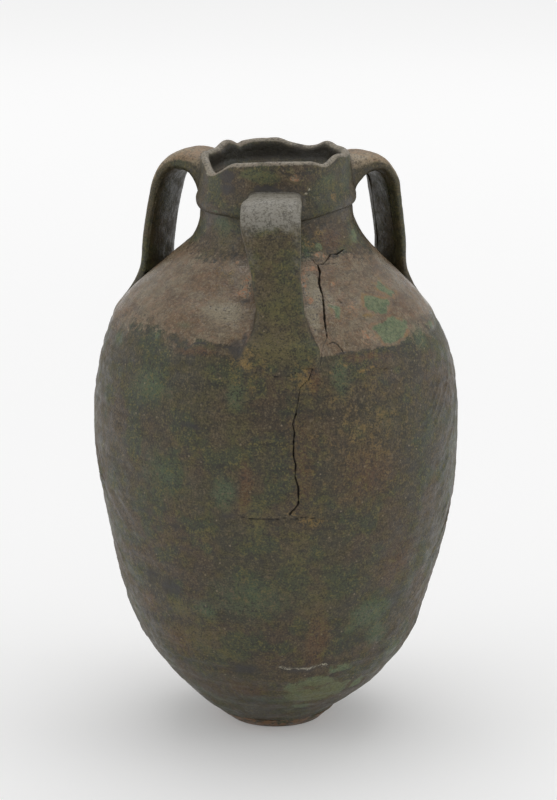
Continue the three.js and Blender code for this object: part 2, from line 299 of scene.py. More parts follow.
# Noise that comes out the same in every run: random values on a lattice, smoothed between.
def lattice_value(i, j, k, seed):
    """A value from -1 to 1 for a corner of the lattice. The large numbers only scramble its bits."""
    h = (i * 374761393 + j * 668265263 + k * 2147483647 + seed * 144665) & 0xFFFFFFFF
    h = ((h ^ (h >> 13)) * 1274126177) & 0xFFFFFFFF
    h = ((h ^ (h >> 16)) * 2246822519) & 0xFFFFFFFF
    return ((h ^ (h >> 15)) & 0xFFFF) / 32767.5 - 1


def noise(points, size, seed):
    """Smooth noise from -1 to 1 at points, with bumps of about the given size."""
    p = np.asarray(points, float) / size
    cell = np.floor(p).astype(np.int64)
    t = p - cell
    t = t * t * t * (t * (t * 6 - 15) + 10)
    total = 0
    for corner in range(8):
        step = np.array([corner & 1, corner >> 1 & 1, corner >> 2 & 1])
        weight = np.where(step, t, 1 - t).prod(axis=1)
        total = total + weight * lattice_value(*(cell + step).T, seed)
    return total


def noise_sum(points, layers):
    """Layers of noise added up, each given by its height, the size of its bumps and its seed."""
    return sum(height * noise(points, size, seed) for height, size, seed in layers)


# Where along a line of sight the wall is looked for, in widest radii, and in how many steps
SEARCH_BEFORE, SEARCH_SPAN, SEARCH_STEPS = 1.3, 1.6, 1200


# Places seen in the photograph, found on the jar's wall through the camera.
def camera_place():
    back = Vector((0, -math.cos(PITCH), math.sin(PITCH)))
    return AIM + back * DISTANCE


def on_jar(pixels):
    """Points of the wall, in mm, behind pixels of the photograph."""
    pixels = np.asarray(pixels, float).reshape(-1, 2)
    per_pixel = SENSOR / LENS / PHOTO_HEIGHT
    right = (pixels[:, 0] - PHOTO_WIDTH / 2) * per_pixel
    up = (PHOTO_HEIGHT / 2 - pixels[:, 1]) * per_pixel
    sin, cos = math.sin(PITCH), math.cos(PITCH)
    ray = np.column_stack((right, cos + up * sin, -sin + up * cos))
    start = np.array(camera_place()) / MM
    nearest = DISTANCE / MM - SEARCH_BEFORE * WIDEST_RADIUS
    reach = nearest + np.linspace(0, SEARCH_SPAN * WIDEST_RADIUS, SEARCH_STEPS)
    found = []
    for direction in ray:
        along = start + reach[:, None] * direction
        inside = outside_distance(along) < 0
        found.append(along[np.argmax(inside)] if inside.any() else along[len(along) // 2])
    return np.array(found)


# Cracks as lines of pixels, with half width and depth
CRACKS = [
    ([(343, 250), (337, 254), (330, 255), (327, 260), (323, 264), (318, 265)], 0.7, 2.0),
    ([(318, 265), (320, 272), (319, 282), (323, 296), (324, 310), (325, 324), (327, 338)], 0.95, 3.0),
    ([(318, 265), (315, 263), (313, 260)], 0.5, 0.9),
    ([(323, 264.5), (333, 264), (341, 263)], 0.3, 0.5),
    ([(327, 338), (323, 346), (321, 353), (320, 365)], 0.45, 1.0),
    ([(327, 345), (333, 342), (338, 345), (343, 352)], 0.5, 1.0),
    ([(338, 299), (342, 303)], 0.5, 0.8),
    ([(312, 368), (309, 379), (300, 388), (298, 402), (296, 414)], 0.45, 0.9),
    ([(296, 414), (292.5, 424), (294.5, 433), (293.5, 444), (293.5, 456), (296, 466), (295, 476),
      (298.5, 488), (298.5, 504), (294, 510), (289, 515)], 0.8, 2.6),
    ([(241, 517), (250, 519), (262, 519), (275, 520), (285, 518), (294, 520), (304, 517), (316, 519),
      (330, 518)], 0.45, 0.8),
    ([(355, 363), (367, 367), (385, 369), (392, 368)], 0.4, 0.7),
    ([(256, 373), (275, 377), (290, 376), (297, 372)], 0.35, 0.6),
    ([(297, 365), (305, 361)], 0.4, 0.6),
    ([(250, 270), (258, 272), (270, 272), (282, 270)], 0.4, 0.6),
]


def in_box(points, others, reach):
    """Which points lie within reach of the box round the others."""
    return ((points > others.min(axis=0) - reach) & (points < others.max(axis=0) + reach)).all(axis=1)


def distance_to_line(points, line):
    """Distance from points to a line of straight stretches."""
    best = np.full(len(points), 1e9)
    for a, b in zip(line[:-1], line[1:]):
        span = b - a
        t = np.clip((points - a) @ span / (span @ span), 0, 1)
        best = np.minimum(best, np.linalg.norm(points - a - t[:, None] * span, axis=1))
    return best


CRACK_LINES = [(on_jar(pixels), half_width, depth) for pixels, half_width, depth in CRACKS]


# How far cracks wander from their lines, in half widths, with the size of the bends and their seed
CRACK_WANDER = [(0.5, 3.0, 71)]
CRACK_REACH = 12


def crack_fields(points):
    """Depth of the cracks at points, and how dark they are, from 0 to 1."""
    groove = np.zeros(len(points))
    shade = np.zeros(len(points))
    wander = noise_sum(points, CRACK_WANDER)
    for line, half_width, depth in CRACK_LINES:
        near = in_box(points, line, CRACK_REACH)
        if not near.any():
            continue
        apart = np.abs(distance_to_line(points[near], line) + wander[near] * half_width)
        groove[near] = np.maximum(groove[near], depth * (1 - smoothstep(apart, 0, half_width)))
        shade[near] = np.maximum(shade[near], 1 - smoothstep(apart, half_width * 0.3, half_width * 1.5))
    return groove, shade


# Patches of the glaze by tone: centre across and down in pixels, half width, half height, strength
PATCHES = {
    "pale_green": [
        (430, 324, 14, 6, 0.4), (317, 247, 4, 4, 0.8), (353, 236, 9, 8, 0.35), (310, 695, 30, 14, 0.9),
        (316, 682, 24, 10, 0.8), (334, 688, 20, 14, 0.8), (357, 681, 9, 9, 0.75), (342, 668, 16, 6, 0.45),
        (294, 688, 10, 12, 0.5), (302, 706, 14, 8, 0.5),
    ],
    "olive": [
        (315, 692, 44, 30, 1.0), (270, 262, 20, 30, 0.5), (276, 305, 22, 36, 0.9),
        (277, 348, 34, 22, 1.0), (259, 177, 34, 10, 0.6), (224, 240, 20, 14, 0.7),
        (330, 206, 22, 14, 0.4), (350, 240, 10, 12, 0.5), (318, 600, 30, 70, 0.3),
        (200, 640, 40, 30, 0.5), (390, 420, 34, 40, 0.3), (230, 430, 30, 40, 0.3),
        (330, 186, 26, 12, 0.4), (180, 608, 16, 14, 0.8), (255, 520, 18, 40, 0.5), (225, 655, 30, 8, 0.6),
        (295, 560, 20, 50, 0.3),
    ],
    "ochre": [
        (311, 243, 7, 5, 0.8), (320, 234, 9, 4, 0.5), (333, 193, 6, 8, 0.6), (294, 515, 6, 4, 0.8),
        (233, 273, 5, 6, 0.6), (305, 378, 14, 24, 0.35), (245, 362, 22, 24, 0.3), (366, 316, 10, 4, 0.6),
        (312, 522, 22, 7, 0.4), (256, 372, 20, 2.5, 0.4), (230, 268, 14, 18, 0.15),
        (368, 369, 24, 1.8, 0.6), (345, 364, 6, 2, 0.5), (233, 283, 4, 5, 0.5), (252, 262, 4, 4, 0.4),
        (365, 430, 60, 60, 0.15),
    ],
    "salmon": [
        (308, 268, 8, 5, 0.9), (305, 284, 4, 16, 0.6), (309, 301, 5, 6, 0.6), (243, 293, 10, 5, 1.0),
        (238, 262, 6, 3, 0.7), (247, 280, 6, 18, 0.35), (296, 180, 8, 4, 0.9), (319, 256, 6, 5, 0.9),
        (333, 284, 4, 5, 0.5), (349, 305, 9, 9, 0.25), (368, 338, 10, 8, 0.25), (388, 308, 4, 6, 0.5),
    ],
    "pale": [
        (312, 290, 11, 24, 0.9), (313, 318, 9, 20, 0.8), (247, 282, 9, 22, 0.6), (226, 312, 34, 22, 0.5),
        (345, 330, 26, 12, 0.2), (330, 300, 8, 34, 0.3), (364, 339, 5, 4, 0.5),
    ],
    "green": [
        (259, 177, 24, 8, 0.9), (330, 178, 14, 8, 0.5), (222, 224, 20, 14, 0.6), (213, 210, 12, 2.5, 0.8),
        (368, 614, 26, 22, 0.9), (384, 606, 16, 14, 0.8), (376, 634, 20, 16, 0.7),
        (393, 646, 16, 14, 0.7), (352, 628, 14, 10, 0.5), (150, 385, 36, 22, 0.5),
        (342, 378, 16, 26, 0.55), (160, 470, 50, 40, 0.35), (250, 600, 60, 40, 0.35),
        (118, 338, 16, 10, 0.6), (157, 336, 9, 6, 0.6), (183, 325, 14, 8, 0.35), (236, 395, 14, 24, 0.5),
        (306, 250, 6, 10, 0.5), (420, 338, 14, 20, 0.5), (224, 494, 16, 26, 0.6), (205, 610, 18, 18, 0.5),
        (270, 700, 36, 10, 0.5),
    ],
    "rust": [
        (317, 640, 16, 48, 0.8), (302, 470, 22, 110, 0.4), (180, 640, 34, 30, 0.5),
        (310, 690, 40, 12, 0.3), (330, 240, 26, 14, 0.7), (312, 380, 12, 22, 0.7),
        (250, 690, 40, 20, 0.4), (368, 357, 44, 6, 0.6), (200, 352, 50, 5, 0.6), (170, 300, 30, 34, 0.4),
        (365, 290, 22, 18, 0.3), (383, 320, 6, 5, 0.9), (402, 300, 30, 24, 0.6), (370, 470, 60, 60, 0.45),
        (400, 560, 44, 50, 0.35), (246, 490, 9, 44, 0.7), (150, 600, 18, 16, 0.6),
    ],
    # Two of the dark patches, at (238, 350) and (246, 340), are painted shadow beside the front handle's
    # tail; the rest are dark glaze
    "dark": [
        (270, 189, 34, 4, 1.6), (352, 640, 26, 20, 0.3), (260, 700, 40, 18, 0.35), (227, 176, 11, 8, 1.8),
        (228, 190, 12, 8, 0.8), (238, 350, 10, 14, 0.9), (246, 340, 4, 14, 0.7), (120, 360, 40, 10, 0.2),
        (300, 670, 30, 8, 0.5), (370, 690, 30, 14, 0.4), (180, 690, 50, 20, 0.3), (247, 240, 5, 22, 0.5),
        (245, 300, 8, 5, 0.6), (325, 200, 24, 10, 0.3), (350, 352, 40, 1.8, 0.9),
        (210, 346, 46, 1.8, 0.9), (172, 588, 20, 12, 0.8), (152, 575, 14, 12, 0.6),
        (228, 515, 12, 6, 0.6), (190, 425, 20, 5, 0.6), (245, 670, 30, 10, 0.6), (395, 600, 16, 20, 0.4),
    ],
    "chalk": [
        (290, 668, 16, 3, 0.9), (308, 668, 18, 3, 1.0), (327, 665, 12, 2.5, 0.8),
        (303, 191, 1.6, 1.3, 0.9), (307, 196, 2.4, 1.2, 0.8), (311, 192, 1.3, 1.6, 0.8),
        (316, 200, 2.2, 1.4, 0.9), (319, 196, 1.2, 1.2, 0.8), (209, 172, 7, 4, 1.0),
        (176, 262, 2, 2, 0.8), (374, 177, 2, 2, 0.8),
    ],
}
# Patches out of the photograph's view: degrees round from the front, height, half sizes, strength
BEHIND = {
    "rust": [
        (150, 300, 46, 60, 0.5), (215, 180, 40, 50, 0.5), (100, 220, 30, 60, 0.4),
        (262, 330, 30, 40, 0.5),
    ],
    "green": [
        (190, 330, 50, 34, 0.6), (125, 150, 34, 30, 0.6), (250, 230, 40, 40, 0.5),
        (165, 120, 30, 20, 0.6),
    ],
    "dark": [
        (175, 230, 60, 18, 0.5), (230, 110, 40, 16, 0.5), (140, 385, 40, 5, 0.6), (110, 320, 20, 30, 0.4),
    ],
    "ochre": [
        (205, 372, 18, 12, 0.5), (160, 260, 12, 20, 0.4), (130, 420, 12, 8, 0.6), (240, 470, 10, 6, 0.5),
    ],
    "pale": [
        (170, 430, 34, 16, 0.5), (205, 410, 18, 20, 0.5), (95, 425, 22, 18, 0.4),
    ],
    "salmon": [
        (180, 455, 10, 6, 0.7), (152, 405, 8, 6, 0.6), (215, 440, 6, 8, 0.6),
    ],
    "olive": [
        (185, 545, 30, 12, 0.6), (160, 190, 50, 40, 0.4), (225, 290, 40, 40, 0.4),
        (105, 520, 16, 14, 0.5),
    ],
    "pale_green": [
        (198, 150, 20, 14, 0.7), (212, 142, 12, 9, 0.7), (140, 440, 7, 5, 0.7),
    ],
}


def on_wall(degrees, height):
    """The point of the wall at an angle round from the front and a height, in mm."""
    turn = math.radians(degrees)
    radius = float(jar_radius(height))
    return make_uneven(np.array([[radius * math.sin(turn), -radius * math.cos(turn), height]]))[0]


PATCH_PLACES = {
    tone: [(on_jar((across, down))[0], *shape) for across, down, *shape in patches]
    + [(on_wall(degrees, height), *shape) for degrees, height, *shape in BEHIND.get(tone, [])]
    for tone, patches in PATCHES.items()
}
# Pale green flakes with clear outlines, as corners in pixels
FLAKES = [
    [(362, 293), (371, 294), (380, 297), (388, 298), (392, 304), (389, 312), (380, 314), (368, 311),
     (361, 303)],
    [(372, 283), (381, 281), (388, 287), (396, 292), (393, 298), (386, 293), (378, 289)],
    [(372, 324), (383, 321), (387, 314), (393, 315), (400, 319), (408, 322), (409, 331), (405, 337),
     (395, 341), (384, 344), (378, 335), (371, 330)],
    [(327, 304), (336, 305), (340, 308), (342, 314), (340, 321), (335, 319), (333, 312), (328, 308)],
]
FLAKE_REACH = 40
FLAKE_SOFTNESS = 8
# The rusty rim round a flake: half width, and how far outside the outline its middle runs
RIM_WIDTH = 3.0
RIM_OUTSIDE = 0.6


def outline_places(pixels):
    """The middle of an outline on the jar, the two directions along the wall there, and its corners."""
    corners = on_jar(pixels)
    middle = corners.mean(axis=0)
    across = np.array([-middle[1], middle[0], 0]) / math.hypot(middle[0], middle[1])
    facing = np.linalg.svd(corners - middle)[2][2]
    upward = np.cross(facing, across)
    upward *= math.copysign(1, upward[2]) / np.linalg.norm(upward)
    plane = np.column_stack((across, upward))
    return middle, plane, (corners - middle) @ plane


FLAKE_PLACES = [outline_places(pixels) for pixels in FLAKES]


def depth_inside(places, corners):
    """How far flat places lie inside an outline, below zero outside it."""
    x, y = places.T
    inside = np.zeros(len(places), bool)
    nearest = np.full(len(places), 1e9)
    for (ax, ay), (bx, by) in zip(corners, np.roll(corners, -1, axis=0)):
        along = (x - ax) * (bx - ax) + (y - ay) * (by - ay)
        share = np.clip(along / ((bx - ax) ** 2 + (by - ay) ** 2), 0, 1)
        nearest = np.minimum(nearest, np.hypot(x - ax - share * (bx - ax), y - ay - share * (by - ay)))
        rising = (ay > y) != (by > y)
        crossing = ax + (y - ay) * (bx - ax) / np.where(by == ay, 1e-9, by - ay)
        inside ^= rising & (x < crossing)
    return np.where(inside, nearest, -nearest)


def flake_depths(points):
    """For each flake, which points are near it and how far they lie inside its outline."""
    for middle, plane, corners in FLAKE_PLACES:
        near = np.flatnonzero(np.linalg.norm(points - middle, axis=1) < FLAKE_REACH)
        if len(near):
            yield near, depth_inside((points[near] - middle) @ plane, corners)


def bent(points):
    """Points pushed about by noise, so that what is drawn by them gets a ragged outline."""
    pushed = points.copy()
    for axis in range(3):
        pushed[:, axis] += noise_sum(points, [(2.4, 14, 81 + axis), (1.4, 4.5, 91 + axis)])
    return pushed


def patch_field(points, tone):
    """How far points lie inside the patches of a tone: over 0 inside, up to the strength."""
    field = np.full(len(points), -1.0)
    for centre, wide, high, strength in PATCH_PLACES[tone]:
        across = np.array([-centre[1], centre[0], 0]) / math.hypot(centre[0], centre[1])
        offset = points - centre
        level = offset @ across / wide
        rest = np.linalg.norm(offset - (offset @ across)[:, None] * across, axis=1) / high
        field = np.maximum(field, strength * (1 - np.hypot(level, rest)))
    if tone == "pale_green":
        for near, depth in flake_depths(points):
            field[near] = np.maximum(field[near], np.clip(depth / FLAKE_SOFTNESS, -1, 1))
    return field


def rim_field(points):
    """How near points lie to the rims of the flakes: 1 in the middle of a rim, 0 at its edges."""
    field = np.full(len(points), -1.0)
    for near, depth in flake_depths(points):
        field[near] = np.maximum(field[near], 1 - np.abs(depth + RIM_OUTSIDE) / RIM_WIDTH)
    return field


# Relief of the outside. Layers of noise are given by height, size and seed, in mm.
RING_LAYERS = [(0.42, 7.5, 3), (0.2, 3.1, 4)]
LUMP_LAYERS = [(0.9, 62, 11), (0.45, 21, 12), (0.16, 7, 13)]
GRAIN_LAYERS = [(0.07, 2.6, 14)]
# Slumped folds at both sides: how they lean, how much longer than wide they are, and their layers
FOLD_LEAN = math.radians(38)
FOLD_STRETCH = 6
FOLD_LAYERS = [(1.5, 10, 21), (0.6, 4.5, 22)]
FOLD_MEAN = 0.35
# Around the widest part the relief stays this far inside the greatest radius
KEPT_INSIDE = 0.15


def skin_edge(x):
    """How far the edge of the worn shoulder lies above the shoulder joint."""
    return lerp(8.5, -5.0, smoothstep(x, -60, 60))


def folds_at_sides(points, degrees):
    """Sharp-crested folds that slant up the two sides of the body, in patches."""
    x, _, z = points.T
    side = np.abs(degrees)
    arc = np.radians(side) * WIDEST_RADIUS
    places = np.column_stack((
        (arc * math.cos(FOLD_LEAN) + z * math.sin(FOLD_LEAN)) / FOLD_STRETCH,
        (z * math.cos(FOLD_LEAN) - arc * math.sin(FOLD_LEAN)),
        np.where(x > 0, 400.0, 0.0),
    ))
    at_sides = smoothstep(side, 38, 75) * (1 - smoothstep(side, 120, 160))
    on_body = smoothstep(z, 60, 130) * (1 - smoothstep(z, SHOULDER_JOINT - 60, SHOULDER_JOINT - 15))
    patchy = smoothstep(noise(points, 45, 33), -0.5, 0.5)
    crests = sum(
        rise * ((1 - np.abs(noise(places, size, seed))) ** 3 - FOLD_MEAN)
        for rise, size, seed in FOLD_LAYERS
    )
    return crests * at_sides * on_body * patchy


def joint_marks(points):
    """Creases and swellings that run round the jar at its joints, fading in and out."""
    x, _, z = points.T
    broken = 0.55 + 0.45 * noise(points, 30, 31)
    marks = [
        (LOWER_JOINT + 3, 5, 0.9),
        (LOWER_JOINT - 3, 4, -1.0),
        (BELLY_JOINT, 2.2, -0.45),
        (SHOULDER_JOINT - 4 + skin_edge(x), 3, -0.8),
        (SHOULDER_JOINT + 5 + skin_edge(x), 7, 0.6),
        (FOOT_JOINT + 4, 5, -1.0),
    ]
    return sum(rise * broken * np.exp(-(((z - height) / width) ** 2)) for height, width, rise in marks)


def soft_minimum(limit, values):
    """The values, bent over smoothly so that they stay below the limit."""
    return limit - np.logaddexp(0, 2 * (limit - values)) / 2


def relief(points):
    """How far the glazed surface stands out from the smooth wall at points of the round jar."""
    z = points[:, 2]
    degrees = degrees_of(points)
    turn = np.radians(degrees)
    round_and_up = np.column_stack((np.cos(turn) * 9, np.sin(turn) * 9, z + 2.5 * np.sin(turn + 1)))
    rings = noise_sum(round_and_up, RING_LAYERS)
    rings *= 1 - 0.5 * smoothstep(z, SHOULDER_JOINT - 8, SHOULDER_JOINT + 8)
    total = rings + noise_sum(points, LUMP_LAYERS) + noise_sum(points, GRAIN_LAYERS)
    total = total + folds_at_sides(points, degrees) + joint_marks(points)
    at_crease = smoothstep(np.abs(z - COLLAR_JOINT), 0, 3)
    at_base = smoothstep(z, 0, 3)
    total = total * at_crease * at_base
    room = WIDEST_RADIUS - KEPT_INSIDE - outer_radius(z)
    return np.where(z < SHOULDER_JOINT, soft_minimum(room, total), total)


# Columns round the jar, in degrees from the front: closer together where the long crack runs
CRACK_SPAN = (-14.0, 31.0)
WIDE_STEP = 0.66
FINE_STEP = 0.2
# Edges that turn by more than this many degrees are drawn sharp
SHARP_DEGREES = 55


def column_degrees():
    start, end = CRACK_SPAN
    fine = np.arange(start, end, FINE_STEP)
    rest = np.linspace(end, 360 + start, round((360 + start - end) / WIDE_STEP), endpoint=False)
    return np.concatenate((fine, rest))


COLUMNS = column_degrees()


def add_mesh(name, points, quads, triangles=()):
    """A mesh object from points in mm and their faces."""
    mesh = bpy.data.meshes.new(name)
    quads = np.asarray(quads, np.int32).reshape(-1, 4)
    triangles = np.asarray(triangles, np.int32).reshape(-1, 3)
    mesh.vertices.add(len(points))
    mesh.vertices.foreach_set("co", (points * MM).astype(np.float32).ravel())
    loops = np.concatenate((quads.ravel(), triangles.ravel()))
    mesh.loops.add(len(loops))
    mesh.loops.foreach_set("vertex_index", loops)
    starts = np.concatenate((
        np.arange(len(quads)) * 4,
        len(quads) * 4 + np.arange(len(triangles)) * 3,
    ))
    mesh.polygons.add(len(starts))
    mesh.polygons.foreach_set("loop_start", starts.astype(np.int32))
    mesh.polygons.foreach_set("use_smooth", np.ones(len(starts), bool))
    mesh.update(calc_edges=True)
    mesh.validate()
    mesh.set_sharp_from_angle(angle=math.radians(SHARP_DEGREES))
    made = bpy.data.objects.new(name, mesh)
    bpy.context.scene.collection.objects.link(made)
    return made


def store(made, name, values):
    """Keeps a value for each vertex, which the materials read by its name."""
    field = made.data.attributes.new(name, "FLOAT", "POINT")
    field.data.foreach_set("value", np.asarray(values, np.float32))


def padded(values, extra):
    """The values, with zeros for points that were added after them."""
    return np.concatenate((values, np.zeros(extra)))


def grid_quads(rows, columns, close_rows):
    """Faces of a grid that closes round its columns, and across its rows too if asked."""
    last = rows if close_rows else rows - 1
    i = np.arange(last)[:, None]
    j = np.arange(columns)[None, :]
    next_i = (i + 1) % rows
    next_j = (j + 1) % columns
    corners = (i * columns + j, i * columns + next_j, next_i * columns + next_j, next_i * columns + j)
    return np.stack([np.broadcast_to(c, (last, columns)) for c in corners], axis=-1).reshape(-1, 4)


# Straps of the handles. Drift is how far the middle line strays sideways, by the share along it.
TAIL_DROP = 13.0
RIGHT_STRAP = dict(thickness=14.5, root_thickness=44, root_drop=19, neck_thickness=26, neck_drop=4.5,
                   root_width=54, bend_width=55, waist_width=52, tail_width=58, roundness=0.82,
                   drift=[[0, -5.4], [0.3, -5.4], [0.85, 3.6], [1, 3.6]])
LEFT_STRAP = {**RIGHT_STRAP, "thickness": 15.5, "root_thickness": 56, "root_drop": 25, "bend_width": 58,
              "waist_width": 56}
FRONT_STRAP = dict(thickness=12.5, root_thickness=20, root_drop=4, neck_thickness=16, neck_drop=3,
                   root_width=48, bend_width=57, waist_width=46, tail_width=66, roundness=0.55,
                   drift=[[0, 0], [0.3, -5.6], [0.45, -2], [0.72, 5], [1, 5]])
HANDLES = [
    dict(name="front_handle", degrees=0, strap=FRONT_STRAP, root_depth=32, reach=55, seed=200),
    dict(name="right_handle", degrees=121.5, strap=RIGHT_STRAP, root_depth=13, reach=54, seed=230),
    dict(name="left_handle", degrees=241.5, strap=LEFT_STRAP, root_depth=12, reach=56, seed=260),
]
# Shares of a strap's reach where it leaves the collar and comes over the top, and of its drop where it
# bends down, at the outermost point, half way down and just over the shoulder
LEAVING, OVER_TOP = 0.2, 0.58
BEND_AT, OUTERMOST_AT, HALF_WAY, LANDING_AT = 0.16, 0.39, 0.65, 0.09
STRAP_ROWS = 230
STRAP_COLUMNS = 120
# Half width and half thickness of a usual strap, for spreading points round its outline
USUAL_HALVES = (27, 7)
# Steps in which the outline of a strap and the lines along it are tried
OUTLINE_STEPS, SHARES_TRIED = 4001, 500
# How deep a strap's ends run into the wall
BURIED = -2.0
# Sizes of the fillets with the wall, and how far a surface may sink where the other one covers it
ROOT_FILLET = 5.0
TAIL_FILLET = 14.0
SINK_SHARE = 0.8
DEEPEST_TUCK = -1.0
# How often the span in which a point meets the fillet is halved
HALVINGS = 4
# Relief starts at this distance from the other surface
RELIEF_FADE = 6.0
STRAP_LAYERS = [(0.6, 34), (0.3, 13), (0.16, 5), (0.07, 2.2)]


def strap_stations(strap, root_depth, reach):
    """Distance from the axis, height, width and thickness at each station of a strap."""
    thickness, neck = strap["thickness"], strap["neck_thickness"]
    root_width, bend_width = strap["root_width"], strap["bend_width"]
    waist, tail_width = strap["waist_width"], strap["tail_width"]
    top = JAR_HEIGHT - root_depth
    bend = NECK_RADIUS + reach
    landing = SHOULDER_JOINT + TAIL_DROP * 2
    spread = SHOULDER_JOINT + TAIL_DROP
    tail = SHOULDER_JOINT - TAIL_DROP
    drop = top - landing
    landing_radius = float(outer_radius(landing))
    return np.array([
        [NECK_RADIUS - thickness, top - strap["root_drop"], root_width, strap["root_thickness"]],
        [NECK_RADIUS + reach * LEAVING, top - strap["neck_drop"], (root_width + bend_width) / 2, neck],
        [NECK_RADIUS + reach * OVER_TOP, top - 4, bend_width, lerp(thickness, neck, 0.3)],
        [bend - 8, top - drop * BEND_AT, bend_width, thickness],
        [bend - 1, top - drop * OUTERMOST_AT, (bend_width + waist) / 2, thickness],
        [lerp(bend, landing_radius, 0.4), top - drop * HALF_WAY, waist, thickness],
        [landing_radius - 3.5, landing + drop * LANDING_AT, waist, thickness],
        [float(outer_radius(spread)) - 1, spread, (waist + tail_width) / 2, thickness * 0.75],
        [float(outer_radius(SHOULDER_JOINT)) - 1, SHOULDER_JOINT, tail_width, thickness * 0.55],
        [float(outer_radius(tail)) - thickness * 0.3, tail, tail_width * 0.9, thickness * 0.4],
    ])


def curve_through(stations, shares):
    """Points at the given shares along a smooth curve through stations, which may be unevenly spaced."""
    count = len(stations)
    ends = np.vstack((2 * stations[0] - stations[1], stations, 2 * stations[-1] - stations[-2]))
    place = np.clip(shares, 0, 1) * (count - 1)
    i = np.minimum(place.astype(int), count - 2)
    t = (place - i)[:, None]
    p0, p1, p2, p3 = (ends[i + k] for k in range(4))
    d0, d1, d2 = (
        np.maximum(np.linalg.norm(b - a, axis=1, keepdims=True), 1e-4) ** 0.5
        for a, b in ((p0, p1), (p1, p2), (p2, p3))
    )
    leave = ((p1 - p0) / d0 - (p2 - p0) / (d0 + d1) + (p2 - p1) / d1) * d1
    arrive = ((p2 - p1) / d1 - (p3 - p1) / (d1 + d2) + (p3 - p2) / d2) * d1
    return (
        p1 * (2 * t**3 - 3 * t**2 + 1) + leave * (t**3 - 2 * t**2 + t)
        + p2 * (3 * t**2 - 2 * t**3) + arrive * (t**3 - t**2)
    )


def squared(values, roundness):
    """Sines or cosines bent so that they draw a rounded rectangle: 1 keeps the ellipse."""
    return np.sign(values) * np.abs(values) ** roundness


def strap_points(handle, along, angle):
    """Surface points of a strap in the jar's frame, by share along it and angle round it."""
    stations = strap_stations(handle["strap"], handle["root_depth"], handle["reach"])
    drift = smooth_through(handle["strap"]["drift"])(np.linspace(0, 1, len(stations)))
    middle_line = np.column_stack((stations[:, 0], drift, stations[:, 1]))
    middle = curve_through(middle_line, along)
    girth = curve_through(np.column_stack((stations[:, 2:], np.zeros(len(stations)))), along)
    tangent = curve_through(middle_line, along + 1e-3) - curve_through(middle_line, along - 1e-3)
    tangent /= np.linalg.norm(tangent, axis=1, keepdims=True)
    across = np.array([0.0, 1.0, 0.0])
    outward = np.cross(across, tangent)
    outward /= np.linalg.norm(outward, axis=1, keepdims=True)
    roundness = handle["strap"]["roundness"]
    wide = girth[:, 0] / 2 * squared(np.cos(angle), roundness)
    thick = girth[:, 1] / 2 * squared(np.sin(angle), roundness)
    points = middle + wide[:, None] * across + thick[:, None] * outward
    turn = math.radians(handle["degrees"] - 90)
    spin = np.array([[math.cos(turn), -math.sin(turn), 0], [math.sin(turn), math.cos(turn), 0], [0, 0, 1]])
    return points @ spin.T


def even_angles(roundness):
    """Angles round a strap's squared section that lie about evenly along its outline."""
    fine = np.linspace(0, 2 * math.pi, OUTLINE_STEPS)
    outline = np.column_stack((squared(np.cos(fine), roundness), squared(np.sin(fine), roundness)))
    outline *= USUAL_HALVES
    run = np.concatenate(([0], np.cumsum(np.linalg.norm(np.diff(outline, axis=0), axis=1))))
    return np.interp(np.linspace(0, run[-1], STRAP_COLUMNS, endpoint=False), run, fine)


def strap_grid(handle):
    """Rows of a strap's surface, each line of it cut where it enters the wall at either end."""
    angles = even_angles(handle["strap"]["roundness"])
    shares = np.linspace(0, 1, SHARES_TRIED)
    along, angle = (a.ravel() for a in np.meshgrid(shares, angles, indexing="ij"))
    distance = outside_distance(strap_points(handle, along, angle)).reshape(len(shares), -1)
    free = distance > BURIED
    first = shares[np.argmax(free, axis=0)]
    last = shares[len(shares) - 1 - np.argmax(free[::-1], axis=0)]
    row_share = np.linspace(0, 1, STRAP_ROWS)[:, None]
    along = (first + (last - first) * row_share).ravel()
    angle = np.broadcast_to(angles, (STRAP_ROWS, STRAP_COLUMNS)).ravel()
    return strap_points(handle, along, angle), along


def grid_normals(points, rows, columns):
    grid = points.reshape(rows, columns, 3)
    around = np.roll(grid, -1, axis=1) - np.roll(grid, 1, axis=1)
    along = np.gradient(grid, axis=0)
    normals = np.cross(around, along)
    length = np.maximum(np.linalg.norm(normals, axis=2, keepdims=True), 1e-9)
    return (normals / length).reshape(-1, 3)


def fillet_size(heights):
    return lerp(TAIL_FILLET, ROOT_FILLET, smoothstep(heights, SHOULDER_JOINT, SHOULDER_JOINT + 25))


def blend_towards(points, normals, other_distance):
    """Moves points out along their normals until they lie on the fillet with another surface.

    The fillet is where the square roots of the two distances add up to that of its size. Points
    that are nearer to the other surface than to their own sink below the fillet again."""
    sizes = fillet_size(points[:, 2])
    apart = other_distance(points)
    shift = np.zeros(len(points))
    near = np.flatnonzero(apart < sizes)
    start, facing, size = points[near], normals[near], sizes[near]

    def excess(move):
        other = other_distance(start + facing * move[:, None])
        return np.sqrt(move) + np.sqrt(np.maximum(other, 0)) - np.sqrt(size), other

    low, high = np.zeros(len(near)), size.copy()
    low_excess, high_excess = excess(low)[0], excess(high)[0]
    for _ in range(HALVINGS):
        middle = (low + high) / 2
        middle_excess = excess(middle)[0]
        over = middle_excess > 0
        high, high_excess = np.where(over, middle, high), np.where(over, middle_excess, high_excess)
        low, low_excess = np.where(over, low, middle), np.where(over, low_excess, middle_excess)
    share = np.clip(-low_excess / np.maximum(high_excess - low_excess, 1e-6), 0, 1)
    move = lerp(low, high, share)
    beyond = np.maximum(move - excess(move)[1], 0)
    shift[near] = np.maximum(move - SINK_SHARE * beyond, DEEPEST_TUCK)
    return shift, apart


